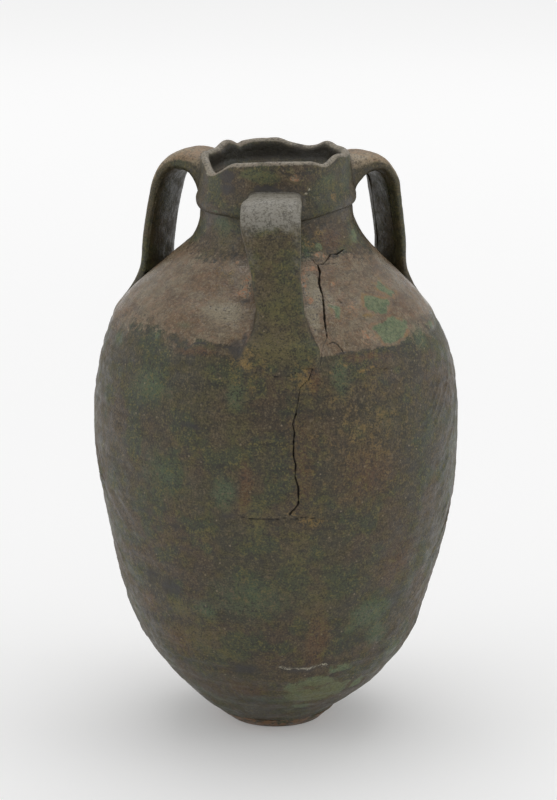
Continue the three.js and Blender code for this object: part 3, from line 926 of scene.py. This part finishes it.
def build_strap(handle):
    """A strap: the points of its rows without fillets, its final points, and its faces."""
    plain, along = strap_grid(handle)
    normals = grid_normals(plain, STRAP_ROWS, STRAP_COLUMNS)
    outward = normals if (normals * (plain - plain.mean(axis=0))).sum() > 0 else -normals
    shift, apart = blend_towards(plain, outward, outside_distance)
    layers = [(height, size, handle["seed"] + i) for i, (height, size) in enumerate(STRAP_LAYERS)]
    raised = noise_sum(plain, layers) * smoothstep(apart, 0, RELIEF_FADE)
    points = plain + outward * (shift + raised)[:, None]
    quads = grid_quads(STRAP_ROWS, STRAP_COLUMNS, False)
    if outward is not normals:
        quads = quads[:, ::-1]
    count = len(points)
    j = np.arange(STRAP_COLUMNS)
    next_j = (j + 1) % STRAP_COLUMNS
    last = (STRAP_ROWS - 1) * STRAP_COLUMNS
    caps = np.vstack((
        np.column_stack((np.full(STRAP_COLUMNS, count), next_j, j)),
        np.column_stack((np.full(STRAP_COLUMNS, count + 1), last + j, last + next_j)),
    ))
    if outward is not normals:
        caps = caps[:, ::-1]
    ends = points[:STRAP_COLUMNS].mean(axis=0), points[-STRAP_COLUMNS:].mean(axis=0)
    points = np.vstack((points, *ends))
    return plain, points, quads, caps


def strap_sides(roundness):
    """1 along the two outer edges of a strap, and 1 on its underside for painted shade, for the points of
    its rows.
    """
    angles = even_angles(roundness)
    edge = np.where(np.sin(angles) < 0, np.abs(np.sin(2 * angles)) ** 3, 0)
    underside_shade = smoothstep(np.sin(angles), 0, 0.7)
    return np.tile(edge, STRAP_ROWS), np.tile(underside_shade, STRAP_ROWS)


STRAPS = {handle["name"]: build_strap(handle) for handle in HANDLES}
STRAP_TREES = [
    BVHTree.FromPolygons([Vector(p) for p in plain], quads.tolist())
    for plain, _, quads, _ in STRAPS.values()
]


def strap_distance(points):
    """Signed distance from points to the nearest strap, up to a little over a fillet's size."""
    reach = TAIL_FILLET + RELIEF_FADE
    best = np.full(len(points), reach)
    for (plain, _, _, _), tree in zip(STRAPS.values(), STRAP_TREES):
        for i in np.flatnonzero(in_box(points, plain, reach)):
            here = Vector(points[i])
            place, normal, _, apart = tree.find_nearest(here, reach)
            if place is not None:
                inside = (here - place).dot(normal) < 0
                best[i] = min(best[i], -apart if inside else apart)
    return best


# Thrown pieces: an outline in radius and height, spun round the axis.
FINGER_RING_HEIGHT, FINGER_RING_LENGTH = 0.8, 2.4
# How grey rather than tan the worn places and the painted top light are, on the walls and on the front
# strap
GREYED_WALLS, GREYED_FRONT = 0.6, 1.0
# Spacing of the rows inside, and radius of the hole in the foot's rows that a fan closes
INNER_SPACING = 11.0
FAN_RADIUS = 4
# Steps in which the length of a wall's curve is measured
ARC_STEPS = 400
# Distance to a strap for points that no strap can be near
FAR_AWAY = 99.0


def outline_normals(outline):
    step = np.gradient(outline, axis=0)
    normal = np.column_stack((step[:, 1], -step[:, 0]))
    return normal / np.maximum(np.linalg.norm(normal, axis=1, keepdims=True), 1e-9)


def glaze_fields(made, points, crack_shade, crevice_shade, inside, worn, greyed, on_strap):
    """Stores what the materials need to know about each point, from 0 to 1, or from -1 for patches."""
    pushed = bent(points)
    for tone in PATCHES:
        store(made, tone, patch_field(pushed, tone))
    store(made, "rim", rim_field(pushed))
    store(made, "crack", crack_shade)
    store(made, "crevice_shade", crevice_shade)
    # Painted shade inside the jar and its mouth
    store(made, "inside", inside)
    store(made, "worn", worn)
    store(made, "greyed", np.full(len(points), greyed))
    store(made, "strap", np.full(len(points), float(on_strap)))
    x, _, z = points.T
    above_joint = z - SHOULDER_JOINT - SHOULDER_TILT * x - skin_edge(x)
    fade = lerp(3.5, 28, np.maximum(smoothstep(-x, 50, 110), smoothstep(x, 105, 150)))
    above_joint = above_joint + fade * (0.5 * noise(points, 26, 61) + 0.3 * noise(points, 8, 63))
    to_neck = 1 - 0.8 * smoothstep(z + 6 * noise(points, 30, 62), NECK_JOINT - 30, NECK_JOINT - 6)
    store(made, "lustre", smoothstep(above_joint / fade, -1, 1) * to_neck * (1 - on_strap))


def thrown_fields(points, weight, apart):
    """Painted shade beside the straps and in the collar's crease, painted shade inside the jar and its
    mouth, and wear of the lip, for the points of a thrown piece.

    The weight is 1 on the outside and 0 on the inside, and apart is the distance to the straps."""
    z = points[:, 2]
    # Painted shade on the inside walls and in the mouth, weaker on the ledge, where painted light from
    # above falls
    in_mouth = smoothstep(RIM_RADIUS - 5 - np.hypot(points[:, 0], points[:, 1]), 0, 2)
    in_mouth *= smoothstep(JAR_HEIGHT - z, 1, 7)
    on_ledge = np.exp(-(((z - JAR_HEIGHT + LEDGE_DEPTH + 1.5) / 3.5) ** 2))
    inner_shade = np.maximum(1 - weight, in_mouth * (z > NECK_JOINT)) * (1 - 0.7 * on_ledge)
    # Painted shade in the crease under the collar and on the wall beside the straps
    crease = 0.8 * np.exp(-(((z - COLLAR_JOINT) / 3) ** 2)) * weight
    shade_beside_straps = (1 - smoothstep(np.abs(apart), 0.5, 6)) * weight
    shade_beside_straps *= smoothstep(z, SHOULDER_JOINT, SHOULDER_JOINT + 20)
    on_lip = smoothstep(z, JAR_HEIGHT - 4.5, JAR_HEIGHT - 1.5) * (1 - in_mouth)
    on_lip *= np.clip(0.9 + 0.8 * noise(points, 13, 51), 0.25, 1)
    return np.maximum(shade_beside_straps, crease), inner_shade, on_lip


def spin(name, outline, normals, outward_rows, closed=True, poles=()):
    """Spins an outline round the axis with relief on its outward rows, and stores its fields.

    A pole closes an end row with a fan: the row, the height of its middle, and whether it faces down."""
    rows, columns = len(outline), len(COLUMNS)
    turn = np.radians(COLUMNS)
    direction = np.column_stack((np.sin(turn), -np.cos(turn), np.zeros(columns)))
    up = np.array([0, 0, 1.0])
    points = outline[:, 0][:, None, None] * direction + outline[:, 1][:, None, None] * up
    facing = normals[:, 0][:, None, None] * direction + normals[:, 1][:, None, None] * up
    points, facing = points.reshape(-1, 3), facing.reshape(-1, 3)
    weight = np.repeat(outward_rows, columns)
    uneven = make_uneven(points)
    groove, crack_shade = crack_fields(uneven)
    raised = (relief(points) - groove) * weight
    inner = (1 - weight) * smoothstep(weight, 1, 0.5)
    climb = points[:, 2] / FINGER_RING_LENGTH + 0.8 * np.sin(np.radians(degrees_of(points)))
    finger_rings = FINGER_RING_HEIGHT * np.sin(climb) * inner
    away = (facing * points)[:, :2].sum(axis=1) / np.hypot(points[:, 0], points[:, 1])
    outside = np.flatnonzero((weight > 0.5) & (away > 0.05))
    shift, apart = np.zeros(len(points)), np.full(len(points), FAR_AWAY)
    shift[outside], apart[outside] = blend_towards(uneven[outside], facing[outside], strap_distance)
    shift *= smoothstep(away, 0.05, 0.5)
    raised = raised * smoothstep(apart, 0, RELIEF_FADE)
    shaped = make_uneven(points + facing * (raised + finger_rings)[:, None]) + facing * shift[:, None]
    shaped[:, 2] = np.maximum(shaped[:, 2], 0)
    fans = []
    j = np.arange(columns)
    for row, pole_height, facing_down in poles:
        pole = np.full(columns, len(shaped))
        shaped = np.vstack((shaped, make_uneven(np.array([[0.0, 0.0, pole_height]]))))
        fan = np.column_stack((pole, row * columns + j, row * columns + (j + 1) % columns))
        fans.append(fan[:, ::-1] if facing_down else fan)
    made = add_mesh(name, shaped, grid_quads(rows, columns, closed), np.vstack(fans) if fans else ())
    fields = (crack_shade * weight, *thrown_fields(points, weight, apart))
    glaze_fields(made, shaped, *(padded(field, len(poles)) for field in fields), GREYED_WALLS, 0)
    return made


def wall_normals(radius_at, heights):
    slopes = slope_of(radius_at, heights)
    return np.column_stack((np.ones(len(heights)), -slopes)) / np.hypot(1, slopes)[:, None]


def wall_outline(bottom, top, spacing):
    """Closed outline of a wall between two joints, its normals, and 1 for each of its outer rows."""
    run = np.linspace(bottom, top, ARC_STEPS)
    arc = np.concatenate(([0], np.cumsum(np.hypot(np.diff(run), np.diff(outer_radius(run))))))
    count = max(int(arc[-1] / spacing), 4)
    rise = np.interp(np.linspace(0, arc[-1], count + 1), arc, run)
    inner_count = max(int(arc[-1] / INNER_SPACING), 3)
    fall = np.linspace(top + BEVEL_RISE, bottom + BEVEL_RISE, inner_count + 1)
    outside = np.column_stack((outer_radius(rise), rise))
    inside = np.column_stack((inner_radius(fall), fall))
    normals = np.vstack((wall_normals(outer_radius, rise), -wall_normals(inner_radius, fall)))
    return np.vstack((outside, inside)), normals, np.concatenate((np.ones(len(rise)), np.zeros(len(fall))))


def rounded(outline, spacing, softness):
    """An outline resampled evenly, with its corners rounded and its two ends kept."""
    points = np.array(outline, float)
    run = np.concatenate(([0], np.cumsum(np.linalg.norm(np.diff(points, axis=0), axis=1))))
    even = np.linspace(0, run[-1], int(run[-1] / spacing) + 1)
    line = np.column_stack([np.interp(even, run, points[:, k]) for k in range(2)])
    for _ in range(softness):
        line[1:-1] = (line[:-2] + 2 * line[1:-1] + line[2:]) / 4
    return line


pieces = {}
# Walls by name, lower joint, upper joint and spacing of the rows
WALLS = [
    ("lower_wall", FOOT_JOINT, LOWER_JOINT, 1.25),
    ("belly_wall", LOWER_JOINT, BELLY_JOINT, 1.35),
    ("upper_wall", BELLY_JOINT, SHOULDER_JOINT, 1.35),
    ("shoulder", SHOULDER_JOINT, NECK_JOINT, 1.0),
    ("neck", NECK_JOINT, COLLAR_JOINT, 0.9),
]
for name, bottom, top, spacing in WALLS:
    pieces[name] = spin(name + "_glazed", *wall_outline(bottom, top, spacing))

collar_line = rounded(collar_outside() + collar_inside(), 0.9, 5)
above_ledge = (collar_line[:, 1] > JAR_HEIGHT - LEDGE_DEPTH) | (collar_line[:, 0] > RIM_RADIUS - 8)
pieces["rim_collar"] = spin(
    "rim_collar_glazed", collar_line, outline_normals(collar_line), above_ledge.astype(float),
)

foot_corner = FOOT_RADIUS - FOOT_EDGE_ROUNDING
bevel_top = FOOT_JOINT + BEVEL_RISE
bevel_radius = float(inner_radius(bevel_top))
foot_outside = [
    (FAN_RADIUS, 0),
    (foot_corner, 0),
    (FOOT_RADIUS, FOOT_EDGE_ROUNDING),
    (float(outer_radius(FOOT_JOINT / 2)), FOOT_JOINT / 2),
    (FOOT_TOP_RADIUS, FOOT_JOINT),
]
foot_inside = [
    (bevel_radius, bevel_top),
    (bevel_radius / 2, FLOOR_THICKNESS),
    (FAN_RADIUS, FLOOR_THICKNESS),
]
foot_line = np.vstack((rounded(foot_outside, 0.7, 3), rounded(foot_inside, 4, 0)))
on_edge = (foot_line[:, 0] > foot_corner - 1) & (foot_line[:, 1] < FOOT_JOINT + 0.5)
pieces["foot_disc"] = spin(
    "foot_disc_clay", foot_line, outline_normals(foot_line), on_edge.astype(float), closed=False,
    poles=[(0, 0.0, True), (len(foot_line) - 1, FLOOR_THICKNESS, False)],
)

for handle in HANDLES:
    name = handle["name"]
    _, points, quads, caps = STRAPS[name]
    z = points[:, 2]
    made = add_mesh(name + "_glazed", points, quads, caps)
    vertex_normals = np.zeros(len(points) * 3, np.float32)
    made.data.vertices.foreach_get("normal", vertex_normals)
    # Painted top light: the upward-facing top of each strap's arch turns paler, along with the worn edges
    # lower down
    painted_top_light = smoothstep(vertex_normals.reshape(-1, 3)[:, 2], -0.1, 0.75)
    painted_top_light *= smoothstep(z, NECK_JOINT + 8, COLLAR_JOINT + 8)
    edges, underside_shade = (padded(side, 2) for side in strap_sides(handle["strap"]["roundness"]))
    worn = np.maximum(edges * smoothstep(z, NECK_JOINT - 40, NECK_JOINT) * 0.3, painted_top_light)
    # Painted shade where the strap nears the wall above the shoulder joint, and under the strap
    crevice_shade = 1 - smoothstep(np.abs(outside_distance(points)), 0.5, 6)
    crevice_shade *= smoothstep(z, SHOULDER_JOINT, SHOULDER_JOINT + 15)
    crevice_shade = np.maximum(crevice_shade, underside_shade * 0.7)
    crack_shade = crack_fields(points)[1]
    greyed = GREYED_FRONT if name == "front_handle" else 0.0
    glaze_fields(made, points, crack_shade, crevice_shade, np.zeros(len(points)), worn, greyed, 1)
    pieces[name] = made


# Glaze and clay. A tree of shader nodes is built by small calls that return sockets.
def linear(*levels):
    """A colour given by red, green and blue from 0 to 255 in the usual screen scale."""
    shares = [level / 255 for level in levels]
    return (*(v / 12.92 if v <= 0.04045 else ((v + 0.055) / 1.055) ** 2.4 for v in shares), 1.0)


class Shade:
    """Adds nodes to a material. Sizes are in metres, and values and shares mostly run from 0 to 1."""

    def __init__(self, material):
        self.tree = material.node_tree
        self.place = self.node("ShaderNodeTexCoord", {}, "Object")

    def put(self, value, socket):
        if isinstance(value, bpy.types.NodeSocket):
            self.tree.links.new(value, socket)
        else:
            socket.default_value = value

    def node(self, kind, inputs, output, **settings):
        """Adds a node, fills its inputs by name or number, and returns one of its outputs."""
        node = self.tree.nodes.new(kind)
        for key, value in settings.items():
            setattr(node, key, value)
        for key, value in inputs.items():
            self.put(value, node.inputs[key])
        return node.outputs[output]

    def math(self, operation, a, b, clamp=False):
        return self.node("ShaderNodeMath", {0: a, 1: b}, 0, operation=operation, use_clamp=clamp)

    def times(self, a, b):
        return self.math("MULTIPLY", a, b)

    def plus(self, a, b):
        return self.math("ADD", a, b)

    def about_half(self, value, weight):
        """A value taken from half, times a weight."""
        return self.times(self.math("SUBTRACT", value, 0.5), weight)

    def stretched(self, scale):
        """The place on the jar, scaled along each axis."""
        return self.node("ShaderNodeVectorMath", {0: self.place, 1: scale}, 0, operation="MULTIPLY")

    def warped(self, size, amount):
        """The place on the jar, pushed about by noise of the given size."""
        noise = self.node("ShaderNodeTexNoise", {"Vector": self.place, "Scale": 1 / size}, "Color")
        push = self.node("ShaderNodeVectorMath", {0: noise, "Scale": amount}, 0, operation="SCALE")
        return self.node("ShaderNodeVectorMath", {0: self.place, 1: push}, 0, operation="ADD")

    def noise(self, size, detail, roughness, place=None):
        inputs = {"Vector": place or self.place, "Scale": 1 / size}
        inputs.update({"Detail": detail, "Roughness": roughness})
        return self.node("ShaderNodeTexNoise", inputs, "Fac")

    def cells(self, size, feature, output="Distance", place=None):
        """Cells: the distance to their edges or middles, or a random value for each of them."""
        inputs = {"Vector": place or self.place, "Scale": 1 / size}
        return self.node("ShaderNodeTexVoronoi", inputs, output, feature=feature)

    def step(self, value, low, high, bottom=0.0, top=1.0):
        """A smooth change from bottom to top as the value goes from low to high."""
        inputs = {"Value": value, "From Min": low, "From Max": high, "To Min": bottom, "To Max": top}
        return self.node("ShaderNodeMapRange", inputs, "Result", interpolation_type="SMOOTHSTEP")

    def mix(self, share, a, b):
        return self.node("ShaderNodeMix", {"Factor": share, "A": a, "B": b}, "Result", data_type="RGBA")

    def field(self, name):
        """A value stored on the mesh."""
        return self.node("ShaderNodeAttribute", {}, "Fac", attribute_name=name)

    def patch(self, name, ragged, low, high, spread=0.5, share=1.0):
        """A patch's share of the colour, with its edge made ragged by noise."""
        inside = self.step(self.plus(self.field(name), self.about_half(ragged, spread)), low, high)
        return self.times(inside, share)


DARK = linear(38, 34, 25)
DARK_GREY = linear(50, 47, 47)
OLIVE = linear(69, 64, 43)
GREEN = linear(56, 68, 44)
BROWN = linear(79, 64, 45)
OLIVE_OCHRE = linear(106, 98, 56)
WORN_OLIVE = linear(104, 92, 70)
SKIN_BROWN = linear(110, 86, 60)
SKIN_GREY = linear(126, 112, 90)
SKIN_ROSE = linear(134, 104, 80)
SKIN_DARK = linear(78, 66, 52)
PALE = linear(140, 129, 106)
PALE_GREEN = linear(112, 120, 86)
DEEP_GREEN = linear(80, 96, 66)
RING = linear(134, 104, 74)
OCHRE = linear(132, 108, 62)
SALMON = linear(164, 118, 84)
RUST = linear(92, 66, 42)
CHALK = linear(168, 162, 142)
GREY_WEAR_AND_TOP_LIGHT = linear(134, 130, 120)
PALE_TAN = linear(152, 136, 111)
CLAY = linear(128, 96, 66)
CRACK_BLACK = (0.006, 0.005, 0.004, 1.0)
# Sizes of the net of fine cracks in the glaze and of its wider one, and how far apart pale spots lie
CRAZING, WIDE_CRAZING, SPOTS_APART = 0.0044, 0.017, 0.008
BUMP_STRENGTH, BUMP_DEPTH = 0.6, 0.0009


class Pattern:
    """The noises and patches that the colours and the roughness of one glaze share."""

    def __init__(self, s):
        self.s = s
        self.clouds = s.noise(0.034, 4, 0.6)
        self.mid = s.noise(0.014, 4, 0.62)
        self.small = s.noise(0.0052, 4, 0.66)
        self.fine = s.noise(0.0018, 3, 0.6)
        self.banded = s.noise(0.010, 4, 0.62, s.stretched((0.14, 0.14, 1.0)))
        self.ragged = s.noise(0.008, 6, 0.72)
        tile_place = s.warped(0.004, 0.0012)
        tile = s.cells(CRAZING, "F1", "Color", tile_place)
        crazed = s.step(s.cells(CRAZING, "DISTANCE_TO_EDGE", place=tile_place), 0.0, 0.1, 1.0, 0.0)
        wide = s.step(s.cells(WIDE_CRAZING, "DISTANCE_TO_EDGE", place=tile_place), 0.0, 0.03, 1.0, 0.0)
        self.crazed = s.math("MAXIMUM", s.times(crazed, 0.32), s.times(wide, 0.35))
        self.mottle = s.plus(s.about_half(tile, 0.35), s.about_half(self.small, 1.5))
        self.mottle = s.plus(self.mottle, s.about_half(self.fine, 2.4))
        self.lighter = s.step(self.mottle, 0.02, 0.5, 0.0, 0.95)
        self.darker = s.step(self.mottle, -0.04, -0.42, 0.0, 0.85)

    def patch(self, name, *edges, **more):
        return self.s.patch(name, self.ragged, *edges, **more)


def body_colour(s, p):
    """Mottled olive, brown and green glaze of the walls and the straps."""
    body = s.mix(s.step(s.noise(0.085, 3, 0.55), 0.42, 0.58), OLIVE, BROWN)
    body = s.mix(s.step(p.clouds, 0.48, 0.6, 0, 0.75), body, GREEN)
    body = s.mix(s.step(p.mid, 0.5, 0.66, 0, 0.3), body, OLIVE_OCHRE)
    body = s.mix(s.step(p.banded, 0.5, 0.68, 0, 0.6), body, DARK)
    body = s.mix(s.step(p.mid, 0.48, 0.3, 0, 0.45), body, DARK)
    body = s.mix(p.patch("rust", 0.0, 0.5), body, RUST)
    body = s.mix(p.patch("green", 0.0, 0.45, share=0.8), body, DEEP_GREEN)
    body = s.mix(s.times(s.field("strap"), 0.18), body, OLIVE_OCHRE)
    body = s.mix(p.patch("olive", -0.1, 0.7, share=0.6), body, OLIVE_OCHRE)
    body = s.mix(p.lighter, body, s.mix(s.step(p.clouds, 0.42, 0.56), WORN_OLIVE, OLIVE_OCHRE))
    body = s.mix(p.darker, body, DARK)
    chosen = s.step(s.cells(SPOTS_APART, "F1", "Color"), 0.66, 0.72)
    spot = s.times(s.step(s.cells(SPOTS_APART, "F1"), 0.16, 0.08), chosen)
    return s.mix(s.times(spot, 0.6), body, PALE_TAN)


def skin_colour(s, p):
    """Worn grey-brown skin of the shoulder."""
    patchy = s.noise(0.009, 3, 0.6, s.stretched((0.8, 0.8, 1.3)))
    skin = s.mix(s.step(p.clouds, 0.38, 0.62), SKIN_BROWN, SKIN_GREY)
    skin = s.mix(s.step(p.mid, 0.5, 0.68, 0, 0.5), skin, SKIN_BROWN)
    skin = s.mix(s.step(patchy, 0.5, 0.62, 0, 0.45), skin, SKIN_ROSE)
    skin = s.mix(s.step(patchy, 0.48, 0.36, 0, 0.35), skin, SKIN_DARK)
    skin = s.mix(s.step(p.banded, 0.5, 0.7, 0, 0.6), skin, SKIN_DARK)
    skin = s.mix(p.patch("green", 0.0, 0.45, share=0.6), skin, DEEP_GREEN)
    skin = s.mix(p.patch("rust", 0.0, 0.5, share=0.6), skin, RUST)
    skin = s.mix(p.patch("pale", 0.0, 0.4), skin, PALE)
    skin = s.mix(s.times(p.lighter, 0.7), skin, PALE)
    return s.mix(s.times(p.darker, 0.6), skin, SKIN_DARK)


def add_patches(s, p, base):
    """Lays the flaked, flecked and stained patches over the glaze."""
    broken = s.step(p.small, 0.38, 0.54, 0.3, 1.0)
    salmon = s.mix(s.step(p.mottle, -0.2, 0.15), PALE, SALMON)
    base = s.mix(s.times(p.patch("salmon", 0.0, 0.3, 1.3), broken), base, salmon)
    ochre = s.mix(s.step(p.mottle, -0.25, 0.15), OLIVE, OCHRE)
    base = s.mix(s.times(p.patch("ochre", 0.0, 0.4, 1.3), broken), base, ochre)
    specks = s.times(p.patch("pale", 0.0, 0.3), s.step(p.mottle, -0.25, -0.5, 0.0, 0.8))
    base = s.mix(specks, base, DARK_GREY)
    greened = s.mix(s.step(p.mottle, -0.35, 0.15), DEEP_GREEN, PALE_GREEN)
    greened = s.mix(p.patch("olive", -0.1, 0.7, share=0.5), greened, OLIVE_OCHRE)
    greened = s.mix(s.step(p.mid, 0.48, 0.34, 0, 0.5), greened, DEEP_GREEN)
    base = s.mix(p.patch("pale_green", 0.0, 0.25, 1.4), base, greened)
    rim = s.times(p.patch("rim", 0.1, 0.8, 1.8), s.step(p.mid, 0.42, 0.58, 0.1, 0.9))
    base = s.mix(rim, base, s.mix(s.step(p.small, 0.45, 0.6), RING, OCHRE))
    # Dark patches of glaze, two of them painted shadow beside the front handle's tail
    base = s.mix(p.patch("dark", 0.0, 0.5, share=0.75), base, DARK_GREY)
    flaked = s.step(p.fine, 0.44, 0.54, 0.15, 1.0)
    return s.mix(s.times(p.patch("chalk", 0.05, 0.4, 1.4), flaked), base, CHALK)


def add_wear_and_top_light(s, p, base):
    """Turns the worn lip and strap edges, and the painted top light on the straps, grey or tan."""
    worn = s.plus(s.field("worn"), s.about_half(p.ragged, 1.2))
    worn = s.times(s.step(worn, 0.1, 0.7), s.step(p.mottle, -0.4, 0.2, 0.35, 1.0))
    worn = s.times(worn, s.step(s.field("worn"), 0.0, 0.15))
    tan = s.mix(s.step(p.clouds, 0.46, 0.6, 0.0, 0.7), PALE_TAN, RING)
    return s.mix(worn, base, s.mix(s.field("greyed"), tan, GREY_WEAR_AND_TOP_LIGHT))


def glaze(name, gloss=0.0, clay_share=0.0):
    """Worn glaze: mottled olive, brown and green, crazed, with the jar's own patches on it."""
    material = bpy.data.materials.new(name)
    material.use_nodes = True
    s = Shade(material)
    p = Pattern(s)
    shader = s.tree.nodes["Principled BSDF"]
    nudge = s.plus(s.about_half(p.small, 1.2), s.times(p.mottle, 0.15))
    on_shoulder = s.step(s.plus(s.field("lustre"), nudge), 0.3, 0.7)
    base = s.mix(on_shoulder, body_colour(s, p), skin_colour(s, p))
    base = s.mix(p.crazed, add_patches(s, p, base), DARK)
    base = add_wear_and_top_light(s, p, base)
    if clay_share:
        base = s.mix(s.step(p.ragged, 0.62 - clay_share / 2, 0.72 - clay_share / 2), base, CLAY)
    # Painted shade: darker beside and under the straps and in the collar's crease
    base = s.mix(s.times(s.field("crevice_shade"), 0.6), base, DARK)
    # Painted shade inside the jar and its mouth
    base = s.mix(s.times(s.field("inside"), 0.88), base, DARK)
    s.put(s.mix(s.field("crack"), base, CRACK_BLACK), shader.inputs["Base Color"])

    rough = s.step(p.mid, 0.35, 0.65, 0.4 - gloss, 0.58 - gloss)
    rough = s.plus(rough, s.step(p.small, 0.4, 0.6, -0.05, 0.08))
    rough = s.plus(rough, s.times(s.field("crack"), 0.4))
    rough = s.math("SUBTRACT", rough, s.times(s.field("lustre"), 0.13), clamp=True)
    s.put(rough, shader.inputs["Roughness"])
    height = s.plus(s.times(p.small, 0.5), s.times(p.fine, 0.3))
    height = s.math("SUBTRACT", height, s.times(p.crazed, 0.5))
    bump = {"Strength": BUMP_STRENGTH, "Distance": BUMP_DEPTH, "Height": height}
    s.put(s.node("ShaderNodeBump", bump, "Normal"), shader.inputs["Normal"])
    return material


SLOTS = {
    "bare_clay": ["foot_disc"],
    "body_glaze": ["lower_wall", "belly_wall", "upper_wall"],
    "shoulder_glaze": ["shoulder", "neck"],
    "collar_glaze": ["rim_collar"],
    "handle_glaze": ["front_handle", "right_handle", "left_handle"],
}
# What sets two of the materials apart
VARIANTS = {"shoulder_glaze": dict(gloss=0.04), "bare_clay": dict(clay_share=0.35)}
SLOT_OF = {node: slot for slot, nodes in SLOTS.items() for node in nodes}
materials = {slot: glaze(slot, **VARIANTS.get(slot, {})) for slot in SLOTS}
for node, made in pieces.items():
    made.data.materials.append(materials[SLOT_OF[node]])
    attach(made, "root")
    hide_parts(node)

# Floor: a pale sheet that reaches past the picture on every side, in metres. Seen straight or in a
# reflection it glows a little, more so far from the jar, so that it fades into the pale background.
FLOOR_HALF = 40.0
FLOOR_COLOUR = (0.8, 0.8, 0.8, 1)
FLOOR_ROUGHNESS = 0.9
NEAR_GLOW, FAR_GLOW = 0.18, 0.4
GLOW_FROM, GLOW_TO = 1.0, 5.0
floor_corners = [(x * FLOOR_HALF, y * FLOOR_HALF, 0) for x, y in ((-1, -1), (1, -1), (1, 1), (-1, 1))]
floor_mesh = bpy.data.meshes.new("floor")
floor_mesh.from_pydata(floor_corners, [], [(0, 1, 2, 3)])
floor = bpy.data.objects.new("floor", floor_mesh)
bpy.context.scene.collection.objects.link(floor)
floor_material = bpy.data.materials.new("floor")
floor_material.use_nodes = True
floor_shade = Shade(floor_material)
floor_shader = floor_material.node_tree.nodes["Principled BSDF"]
floor_shader.inputs["Base Color"].default_value = FLOOR_COLOUR
floor_shader.inputs["Roughness"].default_value = FLOOR_ROUGHNESS
floor_shader.inputs["Specular IOR Level"].default_value = 0.0
floor_shader.inputs["Emission Color"].default_value = (1, 1, 1, 1)
straight, reflected = (
    floor_shade.node("ShaderNodeLightPath", {}, ray) for ray in ("Is Camera Ray", "Is Glossy Ray")
)
seen = floor_shade.math("ADD", straight, reflected, clamp=True)
away = floor_shade.node("ShaderNodeVectorMath", {0: floor_shade.place}, "Value", operation="LENGTH")
glow = floor_shade.step(away, GLOW_FROM, GLOW_TO, NEAR_GLOW, FAR_GLOW)
floor_shade.put(floor_shade.times(seen, glow), floor_shader.inputs["Emission Strength"])
floor_mesh.materials.append(floor_material)


# Soft lights: place, width and height in metres, and power in watts
LIGHTS = {
    "overhead": ((0.15, 1.2, 4.1), 4.0, 4.0, 68),
    "left": ((-3.6, -0.9, 2.0), 2.2, 2.4, 17),
    "right": ((3.6, -0.7, 2.0), 2.2, 2.4, 19),
}
LIT_PLACE = Vector((0, 0, 0.3))
WORLD_COLOUR = (0.92, 0.92, 0.92, 1)
WORLD_STRENGTH = 0.62
for name, (place, width, height, power) in LIGHTS.items():
    light = bpy.data.lights.new(name, "AREA")
    light.shape = "RECTANGLE"
    light.size = width
    light.size_y = height
    light.energy = power
    lamp = bpy.data.objects.new(name, light)
    lamp.location = place
    lamp.rotation_euler = (LIT_PLACE - Vector(place)).to_track_quat("-Z", "Y").to_euler()
    bpy.context.scene.collection.objects.link(lamp)

world = bpy.data.worlds.new("world")
bpy.context.scene.world = world
world.use_nodes = True
world.node_tree.nodes["Background"].inputs["Color"].default_value = WORLD_COLOUR
world.node_tree.nodes["Background"].inputs["Strength"].default_value = WORLD_STRENGTH

camera_data = bpy.data.cameras.new("camera")
camera_data.lens = LENS
camera_data.sensor_width = SENSOR
camera = bpy.data.objects.new("camera", camera_data)
camera.location = camera_place()
camera.rotation_euler = (math.pi / 2 - PITCH, 0, 0)
bpy.context.scene.collection.objects.link(camera)
bpy.context.scene.camera = camera
bpy.context.scene.view_settings.view_transform = "Standard"
